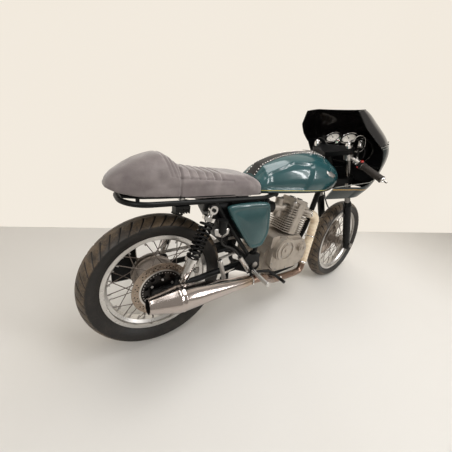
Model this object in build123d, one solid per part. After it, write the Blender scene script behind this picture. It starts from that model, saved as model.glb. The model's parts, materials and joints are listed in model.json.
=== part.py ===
from build123d import *
import os
from math import cos, hypot, radians, sin, sqrt

os.makedirs("parts", exist_ok=True)

# A single-cylinder cafe racer, in millimetres.  It is drawn upright: X forward, Y to its
# left, Z up, with the origin on the ground below the rear axle.  The last section leans it
# onto its side stand and sets the origin at the middle of the base of the whole machine.

# ---------------------------------------------------------------- driving dimensions
WHEELBASE = 1420.0
FRONT_TYRE_R = 310.0
REAR_TYRE_R = 325.0
FRONT_SECTION = 81.0       # height of a tyre over its bead seat
REAR_SECTION = 96.0
RAKE = 27.0                # steering axis from the vertical, degrees
FORK_OFFSET = 50.0         # axle ahead of the steering axis
LEG_SPREAD = 100.0         # fork leg from the centre plane
TOP_YOKE = 750.0           # top yoke, up the fork leg from the axle
RAIL_Z = 732.0             # seat rails over the ground
CRADLE_Z = 236.0           # lower frame tubes over the ground
PIVOT = (478.0, 372.0)     # swingarm pivot, x and z
CRANK = (PIVOT[0] + 292.0, PIVOT[1] + 23.0)
LEAN = 8.0                 # onto the side stand, degrees
STEER_REST = 5.4           # bars turned to the left as it is parked, degrees
STEER_LOCK = 17.0          # bars from straight ahead to a stop, degrees
FIT = 0.05                 # radial clearance of a running fit
SEAT_GAP = 0.3             # clearance between neighbouring curved faces

SIN_R, COS_R = sin(radians(RAKE)), cos(radians(RAKE))
UP = Vector(-SIN_R, 0, COS_R)          # up the steering axis
AHEAD = Vector(COS_R, 0, SIN_R)        # square to the axis, forward
FRONT_AXLE = Vector(WHEELBASE, 0, FRONT_TYRE_R)
REAR_AXLE = Vector(0, 0, REAR_TYRE_R)
FRONT_CENTRE = (WHEELBASE, FRONT_TYRE_R)
REAR_CENTRE = (0.0, REAR_TYRE_R)
STEER_FOOT = FRONT_AXLE - AHEAD * FORK_OFFSET
HEAD = STEER_FOOT + UP * TOP_YOKE      # middle of the top yoke, which places the front end

nodes = {}                 # node name -> shape, in the order they are written
STEERED = []               # nodes that turn with the fork


# ---------------------------------------------------------------- helpers
def leg_point(t, side=0.0, ahead=0.0):
    """Point t up the fork leg line from the axle, side to the left of the centre plane."""
    return FRONT_AXLE + UP * t + AHEAD * ahead + Vector(0, side, 0)


def stem_point(t, side=0.0, ahead=0.0):
    """Point on the steering axis, level with t on the fork legs."""
    return STEER_FOOT + UP * t + AHEAD * ahead + Vector(0, side, 0)


def rod(a, b, radius, bore=0.0):
    """Round bar from a to b, or a tube where bore is its inner radius."""
    a, b = Vector(*a), Vector(*b)
    plane = Plane(origin=a, z_dir=b - a)
    length = (b - a).length
    bar = Solid.make_cylinder(radius, length, plane)
    if bore:
        bar = bar - Solid.make_cylinder(bore, length, plane)
    return bar


def cone(a, b, radius_a, radius_b):
    """Taper from radius_a at a to radius_b at b."""
    a, b = Vector(*a), Vector(*b)
    return Solid.make_cone(radius_a, radius_b, (b - a).length, Plane(origin=a, z_dir=b - a))


def pipe(points, radius, bends, bore=0.0):
    """Tube along straight runs joined by tangent arcs of the radii in bends."""
    points = [Vector(*p) for p in points]
    path = FilletPolyline(*points, radius=bends) if bends else Line(*points)
    start = Plane(origin=points[0], z_dir=points[1] - points[0])
    section = start * Circle(radius)
    if bore:
        section = section - start * Circle(bore)
    return sweep(section, path=path)


def slab(outline, y_low, y_high, corner=0.0):
    """Plate with an outline of (x, z) points, between two distances from the centre plane."""
    plane = Plane(origin=(0, y_high, 0), x_dir=(1, 0, 0), z_dir=(0, -1, 0))
    wire = Polyline(*[(x, z) for x, z in outline], close=True)
    face = make_face(wire)
    if corner:
        face = fillet(face.vertices(), corner)
    return extrude(plane * face, y_high - y_low)


def ring(profile, centre):
    """Turn a closed profile of (y, radius) points round a wheel's axle."""
    wire = Polyline(*[(0, y, r) for y, r in profile], close=True)
    return revolve(make_face(wire), Axis((0, 0, 0), (0, 1, 0)), 360).translate(centre)


def about(centre, points):
    """Outline points (x, z), each given from a centre."""
    return [(centre[0] + x, centre[1] + z) for x, z in points]


def disc(centre, radius, y_low, y_high, bore=0.0):
    """Round plate square to the Y axis; centre is (x, z)."""
    x, z = centre
    return rod((x, y_low, z), (x, y_high, z), radius, bore)


def stack(rows):
    """Coaxial round plates about the Y axis; a row is radius, bore, y low, y high."""
    return fuse(*[disc((0, 0), radius, low, high, bore) for radius, bore, low, high in rows])


def hole_ring(count, circle_r, hole_r, y, half, twist=0.0):
    """Round holes on a circle about the Y axis, to cut from a plate at y."""
    turns = [radians(360.0 / count * i + twist) for i in range(count)]
    return [disc((circle_r * sin(t), circle_r * cos(t)), hole_r, y - half, y + half) for t in turns]


def turned(start, way, profile):
    """Solid of revolution about the line from start; a profile point is distance along, radius."""
    plane = Plane(origin=start, x_dir=way, z_dir=way.cross(Vector(0, 0, 1)).normalized())
    face = make_face(Polyline(*[plane.from_local_coords((t, r)) for t, r in profile], close=True))
    return revolve(face, Axis(start, way), 360)


def main_solid(shape):
    """The largest solid of a shape, without slivers that a cut left."""
    return shape.solids().sort_by(SortBy.VOLUME)[-1]


def fuse(*shapes):
    """One shape from all of them."""
    whole = shapes[0]
    for shape in shapes[1:]:
        whole = whole + shape
    return whole


def both(shape):
    """The shape and its mirror image in the centre plane."""
    return shape + shape.mirror(Plane.XZ)


def keep(name, shape, steered=False):
    """Store a finished piece under its node name."""
    nodes[name] = shape
    if steered:
        STEERED.append(name)
    return shape


# ---------------------------------------------------------------- wheels
FLANGE_RISE = 14.0         # rim flange over the bead seat
WELL_DROP = 16.0           # bead seat down to the inner face of the rim's well
RIM_WALL = 3.0
SPOKE_R = 1.9
SPOKE_COUNT = 36
AXLE_R = 9.0
AXLE_BORE = 6.0            # through the hollow front axle


def tyre(radius, section, crown, half_width, shoulder, bead_half):
    """Tyre as one closed ring: round crown, full side walls, beads inside the rim flange."""
    seat = radius - section
    edge_r = radius - crown + sqrt(crown ** 2 - half_width ** 2)
    wall = half_width - 1
    side = [(half_width, edge_r), (wall, seat + shoulder), (bead_half, seat + FLANGE_RISE + 1),
            (bead_half, seat)]
    profile = Polyline(*[(0, y, r) for y, r in side], *[(0, -y, r) for y, r in reversed(side)])
    top = ThreePointArc((0, -half_width, edge_r), (0, 0, radius), (0, half_width, edge_r))
    face = make_face(Wire(profile.edges() + top.edges()))
    return revolve(face, Axis((0, 0, 0), (0, 1, 0)), 360)


def rim(seat_r, half_width):
    """Drop-centre rim, one wall thick."""
    seat = half_width - RIM_WALL
    well = seat * 0.45
    inner_r = seat_r - WELL_DROP
    flange = seat_r + FLANGE_RISE
    outer = [(half_width, flange), (seat, flange), (seat, seat_r), (well + 8, seat_r),
             (well, inner_r + RIM_WALL)]
    inner = [(well, inner_r), (well + 9, seat_r - RIM_WALL), (half_width, seat_r - RIM_WALL)]
    left = outer + [(-y, r) for y, r in reversed(outer)]
    right = [(-y, r) for y, r in reversed(inner)] + inner
    return ring(left + right, (0, 0, 0))


def spokes(reach, flange_r, flange_y, lean_deg):
    """Crossed spokes from two hub flanges out to the radius reach, each pair to one side."""
    bars = []
    for i in range(SPOKE_COUNT):
        side = 1 if i % 2 else -1
        turn = 1 if (i // 2) % 2 else -1
        at_rim = radians(360.0 / SPOKE_COUNT * (i + 0.5))
        at_hub = at_rim + turn * radians(lean_deg)
        head = flange_y + turn * SPOKE_R
        a = (flange_r * sin(at_hub), side * head, flange_r * cos(at_hub))
        b = (reach * sin(at_rim), side * 6.0, reach * cos(at_rim))
        bars.append(rod(a, b, SPOKE_R))
    return bars


def hub_with_spokes(seat_r, profile, flange_r, flange_y, lean_deg):
    """Hub turned from its profile, with its spokes cut off just inside the rim."""
    hub = ring(profile, (0, 0, 0))
    inner_r = seat_r - WELL_DROP
    wheel_space = rod((0, -90, 0), (0, 90, 0), inner_r - SEAT_GAP)
    laced = Compound(spokes(inner_r + 2, flange_r, flange_y, lean_deg)) & wheel_space
    return fuse(hub, *laced.solids())


# front wheel
FRONT_SEAT = FRONT_TYRE_R - FRONT_SECTION
FRONT_CROWN, FRONT_HALF, FRONT_RIM_HALF = 52.0, 47.0, 32.0
FRONT_HUB_END = 58.0
FRONT_DISC_R, FRONT_DISC_Y, DISC_HALF = 149.0, 62.0, 2.5
# hub profile: y, radius
FRONT_HUB = [(FRONT_HUB_END, AXLE_R + FIT), (FRONT_HUB_END, 30), (46, 32), (44, 46), (36, 46), (32, 30),
             (-32, 30), (-36, 46), (-44, 46), (-46, 24), (-FRONT_HUB_END, 22), (-FRONT_HUB_END, AXLE_R + FIT)]
# disc rows: radius, bore, y low, y high
FRONT_DISC = [(FRONT_DISC_R, 104, FRONT_DISC_Y - DISC_HALF, FRONT_DISC_Y + DISC_HALF),
              (106, 84, FRONT_DISC_Y - 4, FRONT_DISC_Y + 4),
              (86, AXLE_R + 12, FRONT_HUB_END, FRONT_HUB_END + 10)]
# drilling rows: count, circle radius, twist
FRONT_HOLES = [(24, 117, 0), (24, 129, 5), (24, 141, 10)]
DRILL_R = 3.5
front_holes = [h for count, circle, twist in FRONT_HOLES
               for h in hole_ring(count, circle, DRILL_R, FRONT_DISC_Y, DISC_HALF + 2, twist)]
front_parts = {
    "front_tyre": tyre(FRONT_TYRE_R, FRONT_SECTION, FRONT_CROWN, FRONT_HALF, 34.0, FRONT_RIM_HALF - RIM_WALL),
    "front_rim": rim(FRONT_SEAT, FRONT_RIM_HALF),
    "front_hub": hub_with_spokes(FRONT_SEAT, FRONT_HUB, 41.0, 40.0, 62.0),
    "front_disc": stack(FRONT_DISC) - front_holes,
}
for name, shape in front_parts.items():
    keep(name, shape.translate(FRONT_AXLE), steered=True)

# rear wheel
REAR_SEAT = REAR_TYRE_R - REAR_SECTION
REAR_CROWN, REAR_HALF, REAR_RIM_HALF = 84.0, 63.0, 39.0
REAR_HUB_LEFT, REAR_HUB_RIGHT = 66.0, -64.0
REAR_DISC_R, REAR_DISC_Y = 130.0, -74.0
SPROCKET_R, SPROCKET_Y = 88.0, 76.0
# hub profile: y, radius
REAR_HUB = [(REAR_HUB_LEFT, AXLE_R + FIT), (REAR_HUB_LEFT, 60), (56, 92), (50, 100), (40, 100), (36, 90),
            (-34, 84), (-38, 92), (-46, 92), (-50, 60), (REAR_HUB_RIGHT, 44), (REAR_HUB_RIGHT, AXLE_R + FIT)]
# disc rows: radius, bore, y low, y high
REAR_DISC = [(REAR_DISC_R, 100, REAR_DISC_Y - DISC_HALF, REAR_DISC_Y + DISC_HALF),
             (101, 44, REAR_DISC_Y - 4, REAR_HUB_RIGHT), (46, AXLE_R + 10, REAR_DISC_Y - 6, REAR_HUB_RIGHT)]
REAR_HOLES = [(24, 108, 0), (24, 116, 5), (24, 124, 10)]
VENTS = hole_ring(10, 73, 11, REAR_DISC_Y, 5)
rear_holes = [h for count, circle, twist in REAR_HOLES
              for h in hole_ring(count, circle, DRILL_R - 0.5, REAR_DISC_Y, DISC_HALF + 2, twist)]
SPROCKET_HALF = 3.0
TEETH, TOOTH_GAP_R = 40, 4.2
rear_parts = {
    "rear_tyre": tyre(REAR_TYRE_R, REAR_SECTION, REAR_CROWN, REAR_HALF, 41.0, REAR_RIM_HALF - RIM_WALL),
    "rear_rim": rim(REAR_SEAT, REAR_RIM_HALF),
    "rear_hub": hub_with_spokes(REAR_SEAT, REAR_HUB, 92.0, 44.0, 30.0),
    "rear_disc": stack(REAR_DISC) - rear_holes - VENTS,
    "rear_sprocket": stack([(SPROCKET_R, 62, SPROCKET_Y - SPROCKET_HALF, SPROCKET_Y + SPROCKET_HALF)])
    - hole_ring(TEETH, SPROCKET_R + 2, TOOTH_GAP_R, SPROCKET_Y, SPROCKET_HALF + 1)
    - hole_ring(8, 74, 6, SPROCKET_Y, SPROCKET_HALF + 1),
}
for name, shape in rear_parts.items():
    keep(name, shape.translate(REAR_AXLE))

# ---------------------------------------------------------------- fork and steering
STANCHION_R = 17.5
SLIDER_R = 25.0
SLIDER_TOP = 387.0
LEG_TOP = 768.0
LOW_YOKE = 565.0
STEM_R = 14.0
YOKE_EAR = 30.0
RACE_R = 22.0              # head bearing races
HEAD_R, HEAD_BORE = 27.0, 20.0
HEAD_LOW, HEAD_HIGH = LOW_YOKE + 22, TOP_YOKE - 18


def yoke(level, thickness, ear, centre_r):
    """Clamp plate across the two fork legs and the stem."""
    low, high = -thickness / 2, thickness / 2
    face_plane = Plane(origin=stem_point(level), x_dir=AHEAD, z_dir=UP)
    rounds = [(FORK_OFFSET, LEG_SPREAD, ear), (FORK_OFFSET, -LEG_SPREAD, ear), (0, 0, centre_r)]
    outline = make_hull([e for x, y, r in rounds for e in (Pos(x, y) * Circle(r)).edges()])
    plate = extrude(face_plane * outline, high).solid() + extrude(face_plane * outline, low).solid()
    for side in (LEG_SPREAD, -LEG_SPREAD):
        leg = rod(leg_point(level + 2 * low, side), leg_point(level + 2 * high, side), STANCHION_R)
        plate = plate - leg
    return plate


def steering_parts():
    """Yokes, legs, bars, controls, gauges and brake, pointing straight ahead."""
    keep("top_yoke", yoke(TOP_YOKE, 26.0, YOKE_EAR, 25.0), True)
    low = yoke(LOW_YOKE, 34.0, YOKE_EAR, 27.0)
    stem = rod(stem_point(LOW_YOKE + 17), stem_point(TOP_YOKE - 13), STEM_R)
    race_low = rod(stem_point(LOW_YOKE + 17), stem_point(HEAD_LOW - SEAT_GAP), RACE_R)
    race_high = rod(stem_point(HEAD_HIGH + SEAT_GAP), stem_point(TOP_YOKE - 13), RACE_R)
    keep("lower_yoke", fuse(low, stem, race_low, race_high), True)
    stanchions, sliders, caps = [], [], []
    for side in (LEG_SPREAD, -LEG_SPREAD):
        stanchions.append(rod(leg_point(SLIDER_TOP, side), leg_point(LEG_TOP, side), STANCHION_R))
        stanchions[-1] += cone(leg_point(LEG_TOP, side), leg_point(LEG_TOP + 18, side), 19.0, 15.0)
        body = rod(leg_point(-30, side), leg_point(SLIDER_TOP - 26, side), SLIDER_R)
        body += cone(leg_point(SLIDER_TOP - 26, side), leg_point(SLIDER_TOP, side), SLIDER_R + 3, 22.0)
        body -= disc(FRONT_CENTRE, AXLE_R, side - 40, side + 40)
        sliders.append(body)
    keep("fork_stanchions", Compound(stanchions), True)
    keep("fork_sliders", Compound(sliders), True)
    axle = disc(FRONT_CENTRE, AXLE_R, -LEG_SPREAD - 34, LEG_SPREAD + 34)
    axle += disc(FRONT_CENTRE, 15, -LEG_SPREAD - 36, -LEG_SPREAD - 27)
    axle += disc(FRONT_CENTRE, 15, LEG_SPREAD + 27, LEG_SPREAD + 36)
    keep("front_axle", axle - disc(FRONT_CENTRE, AXLE_BORE, -150, 150), True)
    spacer = disc(FRONT_CENTRE, 14.0, FRONT_HUB_END + 0.5, LEG_SPREAD - SLIDER_R - 0.5, AXLE_R)
    keep("front_axle_spacers", both(spacer), True)


steering_parts()

# clip-on bars: droop and sweep of the bar from the leg, degrees
BAR_LEVEL = 716.0
BAR_LENGTH = 252.0
BAR_DROOP, BAR_SWEEP = 23.0, 11.0
BAR_R, GRIP_R = 11.0, 16.0
GRIP_START = 118.0


def bar_axis(side):
    """Start of a bar at its leg, and its direction outwards."""
    droop, sweep = radians(BAR_DROOP), radians(BAR_SWEEP)
    way = Vector(-sin(sweep) * cos(droop), side * cos(sweep) * cos(droop), -sin(droop))
    return leg_point(BAR_LEVEL, side * LEG_SPREAD), way


# perch rows along the bar from the leg: start, end, radius
PERCH_ROWS = [(58, 84, 17), (80, 92, 16), (88, GRIP_START - 3, 17)]
LEVER_ROOT, LEVER_KNEE, LEVER_REACH = 34.0, 60.0, 178.0
LEVER_DROP = 40.0          # levers below the level of the fork's forward side, degrees
MASTER_AT = 64.0           # brake hose fitting, along the right bar
clips, grips, controls = [], [], []
for side in (1, -1):
    root, way = bar_axis(side)
    leg_y = side * LEG_SPREAD
    clamp = rod(leg_point(BAR_LEVEL - 17, leg_y), leg_point(BAR_LEVEL + 17, leg_y), 27.0)
    bar = rod(root, root + way * BAR_LENGTH, BAR_R)
    bore = rod(leg_point(BAR_LEVEL - 60, leg_y), leg_point(BAR_LEVEL + 60, leg_y), STANCHION_R)
    clips.append((clamp + bar - bore).solid())
    grip = rod(root + way * GRIP_START, root + way * (BAR_LENGTH - 4), GRIP_R, BAR_R)
    grips.append(grip + rod(root + way * GRIP_START, root + way * (GRIP_START + 6), GRIP_R + 4, BAR_R))
    perch = fuse(*[rod(root + way * a, root + way * b, radius, BAR_R) for a, b, radius in PERCH_ROWS])
    level = (AHEAD - way * AHEAD.dot(way)).normalized()
    upright = (UP - way * UP.dot(way)).normalized()
    forward = level * cos(radians(LEVER_DROP)) - upright * sin(radians(LEVER_DROP))
    pivot = root + way * 74 + forward * LEVER_ROOT
    knee = pivot + way * LEVER_KNEE + forward * 20
    perch += rod(root + way * 74 + forward * 13, pivot, 7.0)
    perch += rod(pivot - way * 4, knee, 6.5) + rod(knee, pivot + way * LEVER_REACH + forward * 26, 5.5)
    controls.append(perch.solid())
keep("clip_ons", Compound(clips), True)
keep("grips", Compound(grips), True)

# gauges: two cups and a block of warning lamps between them, on one bracket
GAUGE_SPACING = 51.0
GAUGE_R, GAUGE_DEEP = 48.0, 46.0
GAUGE_FACE = Vector(-0.66, 0, 0.75).normalized()
GAUGE_MIDDLE = HEAD + Vector(107, 0, 90)
gauge_cups = []
for side in (1, -1):
    face = GAUGE_MIDDLE + Vector(0, side * GAUGE_SPACING, 0)
    foot = face - GAUGE_FACE * GAUGE_DEEP
    gauge_cups += [rod(foot, face, GAUGE_R), cone(foot, foot - GAUGE_FACE * 14, GAUGE_R - 4, 24.0)]
block = Plane(origin=GAUGE_MIDDLE - GAUGE_FACE * 30, x_dir=(0, 1, 0), z_dir=GAUGE_FACE)
lamp_block = extrude(block * Pos(0, 24) * RectangleRounded(30, 62, 5), 26)
lamp_lenses = [rod(block.from_local_coords((0, y, 26)), block.from_local_coords((0, y, 30)), 6.0)
               for y in (6, 24, 42)]
bracket = Plane(origin=GAUGE_MIDDLE - GAUGE_FACE * 50, x_dir=(0, 1, 0), z_dir=GAUGE_FACE)
bracket_plate = extrude(bracket * Rectangle(160, 50), 20)
bracket_arm = rod(stem_point(TOP_YOKE, 0, 34), GAUGE_MIDDLE - GAUGE_FACE * 48, 9.0)
gauge_set = fuse(bracket_plate, bracket_arm, lamp_block, *lamp_lenses, *gauge_cups) - nodes["top_yoke"]
keep("gauges", main_solid(gauge_set), True)

# front brake caliper, ahead of the left leg; its outline is given from the axle
CALIPER = about(FRONT_CENTRE, [(42, 30), (92, 20), (142, 80), (105, 124), (50, 110)])
CALIPER_ARM = about(FRONT_CENTRE, [(-32, 40), (60, 42), (70, 110), (-48, 90)])
caliper = slab(CALIPER, 48, 90, 8.0)
caliper -= disc(FRONT_CENTRE, FRONT_DISC_R + 3, FRONT_DISC_Y - 5, FRONT_DISC_Y + 8)
caliper -= disc(FRONT_CENTRE, 110.0, 40, FRONT_DISC_Y + 12)
caliper += slab(CALIPER_ARM, 78, 90, 6.0)
caliper -= rod(leg_point(-60, LEG_SPREAD), leg_point(SLIDER_TOP, LEG_SPREAD), SLIDER_R)

# front brake hose: level up the fork leg, side, ahead of the leg
HOSE_R, BANJO_R, BANJO_LENGTH = 4.5, 7.0, 12.0
HOSE_ROUTE = [(112, 78, 104), (170, 80, 98), (270, 92, 58), (385, 98, 40), (500, 95, 43), (600, 88, 40),
              (668, 50, 70), (688, -40, 84), (716, -110, 74), (742, -138, 38)]


def hose(points, radius):
    """Hose along straight runs, each bend as wide as its two runs allow."""
    points = [Vector(*p) for p in points]
    bends = []
    for before, at, after in zip(points, points[1:], points[2:]):
        into, out = at - before, after - at
        half_turn = radians(into.get_angle(out)) / 2
        bends.append(0.45 * min(into.length, out.length) * cos(half_turn) / sin(half_turn))
    return pipe(points, radius, bends)


root, way = bar_axis(-1)
upward = (UP - way * UP.dot(way)).normalized()
route = [leg_point(*stop) for stop in HOSE_ROUTE]
master_side = root + way * MASTER_AT + upward * 14
last_run = (master_side - route[-1]).normalized()
hose_end = master_side - last_run * BANJO_LENGTH
first_run = (route[1] - route[0]).normalized()
keep("front_brake_hose", hose(route + [hose_end], HOSE_R), True)
banjo = rod(hose_end, master_side, BANJO_R) - rod(root, root + way * BAR_LENGTH, BAR_R)
controls[1] = main_solid(controls[1] + banjo)
keep("bar_controls", Compound(controls), True)
keep("front_caliper", main_solid(caliper + rod(route[0] - first_run * 22, route[0], BANJO_R)), True)

# ---------------------------------------------------------------- frame
TANK_BASE = RAIL_Z + 18.0
RAIL_R = 10.5
RAIL_Y = 112.0
TAIL_X = -150.0
SPINE_END = (600.0, RAIL_Z + 6.0)      # rear end of the backbone, x and z
SPINE_TOP = stem_point(655)
SPINE_BEND = SPINE_TOP - Vector(178, 0, 59)

head_tube = rod(stem_point(HEAD_LOW), stem_point(HEAD_HIGH), HEAD_R)
spine_foot = Vector(SPINE_END[0], 0, SPINE_END[1])
backbone = pipe([SPINE_TOP, SPINE_BEND, spine_foot], 21.0, [260.0])
cross = rod((SPINE_END[0], -70, RAIL_Z), (SPINE_END[0], 70, RAIL_Z), 14.0)
rails = pipe([(SPINE_END[0], 60, RAIL_Z), (480, RAIL_Y, RAIL_Z), (TAIL_X, RAIL_Y, RAIL_Z),
              (TAIL_X, -RAIL_Y, RAIL_Z), (480, -RAIL_Y, RAIL_Z), (SPINE_END[0], -60, RAIL_Z)],
             RAIL_R, [120.0, 96.0, 96.0, 120.0])
seat_cross = rod((190, -RAIL_Y, RAIL_Z), (190, RAIL_Y, RAIL_Z), 9.0)
stem_bore = rod(stem_point(HEAD_LOW - 5), stem_point(HEAD_HIGH + 5), HEAD_BORE)
pad_top = TANK_BASE - SEAT_GAP
pads = [Pos(SPINE_END[0], y, (RAIL_Z + pad_top) / 2) * Box(34, 24, pad_top - RAIL_Z) for y in (-52, 52)]
keep("frame_spine", fuse(head_tube, backbone, cross, rails, seat_cross, *pads) - stem_bore)

DOWN_FOOT = (CRANK[0] + 165.0, CRADLE_Z + 64.0)
DOWN_BEND = (CRANK[0] + 233.0, CRADLE_Z + 234.0)
downtube = pipe([stem_point(622, 0, -28), (DOWN_BEND[0], 0, DOWN_BEND[1]), (DOWN_FOOT[0], 0, DOWN_FOOT[1])],
                17.0, [200.0])
downtube -= rod(stem_point(HEAD_LOW - 30), stem_point(HEAD_HIGH + 5), HEAD_R)
keep("frame_downtube", downtube)

NOSE_X, NOSE_Z = DOWN_FOOT[0] - 10, CRADLE_Z + 14
lower = pipe([(NOSE_X, 62, NOSE_Z), (NOSE_X - 45, 66, CRADLE_Z), (PIVOT[0] + 82, 100, CRADLE_Z),
              (PIVOT[0] + 22, 108, CRADLE_Z + 26), (PIVOT[0], 108, PIVOT[1] + 10)],
             13.0, [60.0, 60.0, 40.0])
upright = rod((PIVOT[0], 108, PIVOT[1]), (500, RAIL_Y, RAIL_Z - 6), 12.0)
brace = rod((PIVOT[0] - 8, 109, PIVOT[1] + 16), (205, RAIL_Y, RAIL_Z - 6), 11.0)
plate = slab(about(PIVOT, [(-38, -42), (27, -52), (42, 48), (-8, 78), (-38, 48)]), 98, 118, 12.0)
front_cross = rod((NOSE_X, -66, NOSE_Z + 2), (NOSE_X, 66, NOSE_Z + 2), 15.0)
front_stub = rod((DOWN_FOOT[0], 0, DOWN_FOOT[1]), (NOSE_X, 0, NOSE_Z + 2), 17.0)
cradle = fuse(both(fuse(lower, upright, brace, plate)), front_cross, front_stub)
cradle -= nodes["frame_spine"]
cradle -= disc(PIVOT, 10.0, -140, 140)
keep("frame_cradle", cradle - nodes["frame_downtube"])

# ---------------------------------------------------------------- swingarm, chain and shocks
ARM_Y, ARM_R = 98.0, 15.0
ARM_END = about(REAR_CENTRE, [(-52, -35), (-52, 21), (80, 29), (80, -7), (-10, -35)])
swing = disc(PIVOT, 19.0, -94, 94, 10.0)
arms = fuse(rod((PIVOT[0], ARM_Y - 20, PIVOT[1] - 2), (60, ARM_Y, REAR_TYRE_R + 11), ARM_R),
            slab(ARM_END, ARM_Y - 6, ARM_Y + 6, 10.0))
SHOCK_LOW, SHOCK_HIGH = (66.0, REAR_TYRE_R + 53.0), (184.0, RAIL_Z - 28.0)
SHOCK_Y = 137.0
EYE_R, EYE_HALF, STUD_R = 13.0, 11.0, 8.0
lug = slab(about(REAR_CENTRE, [(40, 15), (96, 15), (82, 67), (52, 67)]), ARM_Y - 2, ARM_Y + 10, 8.0)
lug += disc(SHOCK_LOW, STUD_R, ARM_Y + 2, SHOCK_Y + 16)
swingarm = fuse(swing, both(arms + lug)) - disc(PIVOT, 10.0, -140, 140)
swingarm -= disc(REAR_CENTRE, AXLE_R, -140, 140)
keep("swingarm", swingarm)
pin = disc(PIVOT, 10.0, -134, 134)
keep("swingarm_pin", pin + both(disc(PIVOT, 17.0, 125, 134)))
rear_axle = disc(REAR_CENTRE, AXLE_R, -128, 128) + both(disc(REAR_CENTRE, 15.0, ARM_Y + 6, ARM_Y + 20))
keep("rear_axle", rear_axle)
spacer_right = disc(REAR_CENTRE, 13.0, -ARM_Y + 6, REAR_HUB_RIGHT - 0.5, AXLE_R)
spacer_left = disc(REAR_CENTRE, 13.0, REAR_HUB_LEFT + 0.5, ARM_Y - 6, AXLE_R)
keep("rear_axle_spacers", Compound([spacer_right.solid(), spacer_left.solid()]))

FRONT_SPROCKET = about(PIVOT, [(144, 26)])[0]
CHAIN_THICK, CHAIN_HALF = 11.0, 7.0


def belt(radius_rear, radius_front, y_low, y_high):
    """Solid band round the two sprockets' centres, as a hull of two circles."""
    plane = Plane(origin=(0, y_high, 0), x_dir=(1, 0, 0), z_dir=(0, -1, 0))
    circles = (Pos(0, REAR_TYRE_R) * Circle(radius_rear)).edges()
    circles += (Pos(*FRONT_SPROCKET) * Circle(radius_front)).edges()
    return extrude(plane * make_hull(circles), y_high - y_low)


DRIVE_R = 36.0             # gearbox sprocket
chain_low, chain_high = SPROCKET_Y - CHAIN_HALF, SPROCKET_Y + CHAIN_HALF
chain = belt(SPROCKET_R + 1 + CHAIN_THICK, DRIVE_R + CHAIN_THICK, chain_low, chain_high)
chain -= belt(SPROCKET_R + 1, DRIVE_R, chain_low, chain_high)
keep("drive_chain", chain)

shocks = []
SHOCK_WAY = (Vector(SHOCK_HIGH[0], 0, SHOCK_HIGH[1]) - Vector(SHOCK_LOW[0], 0, SHOCK_LOW[1])).normalized()


def shock_point(t, side):
    """Point t up the shock from its lower eye."""
    return Vector(SHOCK_LOW[0], side * SHOCK_Y, SHOCK_LOW[1]) + SHOCK_WAY * t


SHOCK_LENGTH = hypot(SHOCK_HIGH[0] - SHOCK_LOW[0], SHOCK_HIGH[1] - SHOCK_LOW[1])
# shock rows: from, to, radius, all up from the lower eye
SPRING_FOOT, SPRING_TOP = 126.0, SHOCK_LENGTH - 47.0
SHOCK_ROWS = [(8, 30, 11), (30, 110, 22), (110, SPRING_FOOT, 29), (SPRING_FOOT, 190, 8),
              (180, SPRING_TOP + 5, 7),
              (SPRING_TOP, SPRING_TOP + 16, 29), (SPRING_TOP + 16, SHOCK_LENGTH - 8, 11)]
SPRING_R, SPRING_WIRE, SPRING_TURNS = 25.0, 5.0, 9
TOP_EYE_R = 19.0
for side in (1, -1):
    body = fuse(*[disc(eye, radius, side * SHOCK_Y - EYE_HALF, side * SHOCK_Y + EYE_HALF)
                  for eye, radius in ((SHOCK_LOW, EYE_R), (SHOCK_HIGH, TOP_EYE_R))])
    for start, end, radius in SHOCK_ROWS:
        body += rod(shock_point(start, side), shock_point(end, side), radius)
    for eye in (SHOCK_LOW, SHOCK_HIGH):
        body -= disc(eye, STUD_R, side * SHOCK_Y - 30, side * SHOCK_Y + 30)
    shocks.append(body.solid())
keep("shocks", Compound(shocks))


def spring(side):
    """Coil spring as half turns, each a tilted half circle that meets the next along its tangent."""
    axis_plane = Plane(origin=shock_point(0, side), x_dir=(0, 1, 0), z_dir=SHOCK_WAY)
    rise = (SPRING_TOP - SPRING_FOOT - 2 * SPRING_WIRE - 2 * SEAT_GAP) / (2 * SPRING_TURNS)
    bulge = hypot(SPRING_R, rise / 2)
    arcs = []
    for i in range(2 * SPRING_TURNS):
        way = 1 if i % 2 == 0 else -1
        low = SPRING_FOOT + SEAT_GAP + SPRING_WIRE + i * rise
        stops = [(way * SPRING_R, 0, low), (0, way * bulge, low + rise / 2), (-way * SPRING_R, 0, low + rise)]
        arcs.append(ThreePointArc(*[axis_plane.from_local_coords(stop) for stop in stops]))
    path = Wire([arc.edge() for arc in arcs])
    section = Plane(origin=path @ 0, z_dir=path % 0) * Circle(SPRING_WIRE)
    return sweep(section, path=path).solid()


keep("shock_springs", Compound([spring(1), spring(-1)]))
GUSSET = about((SHOCK_HIGH[0], RAIL_Z), [(-34, -42), (34, -42), (44, -6), (-24, -6)])
mounts = slab(GUSSET, RAIL_Y - 5, RAIL_Y + 5, 6.0) + disc(SHOCK_HIGH, STUD_R, RAIL_Y, SHOCK_Y + 16)
nodes["frame_spine"] = nodes["frame_spine"] + both(mounts) - nodes["frame_cradle"]

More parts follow.
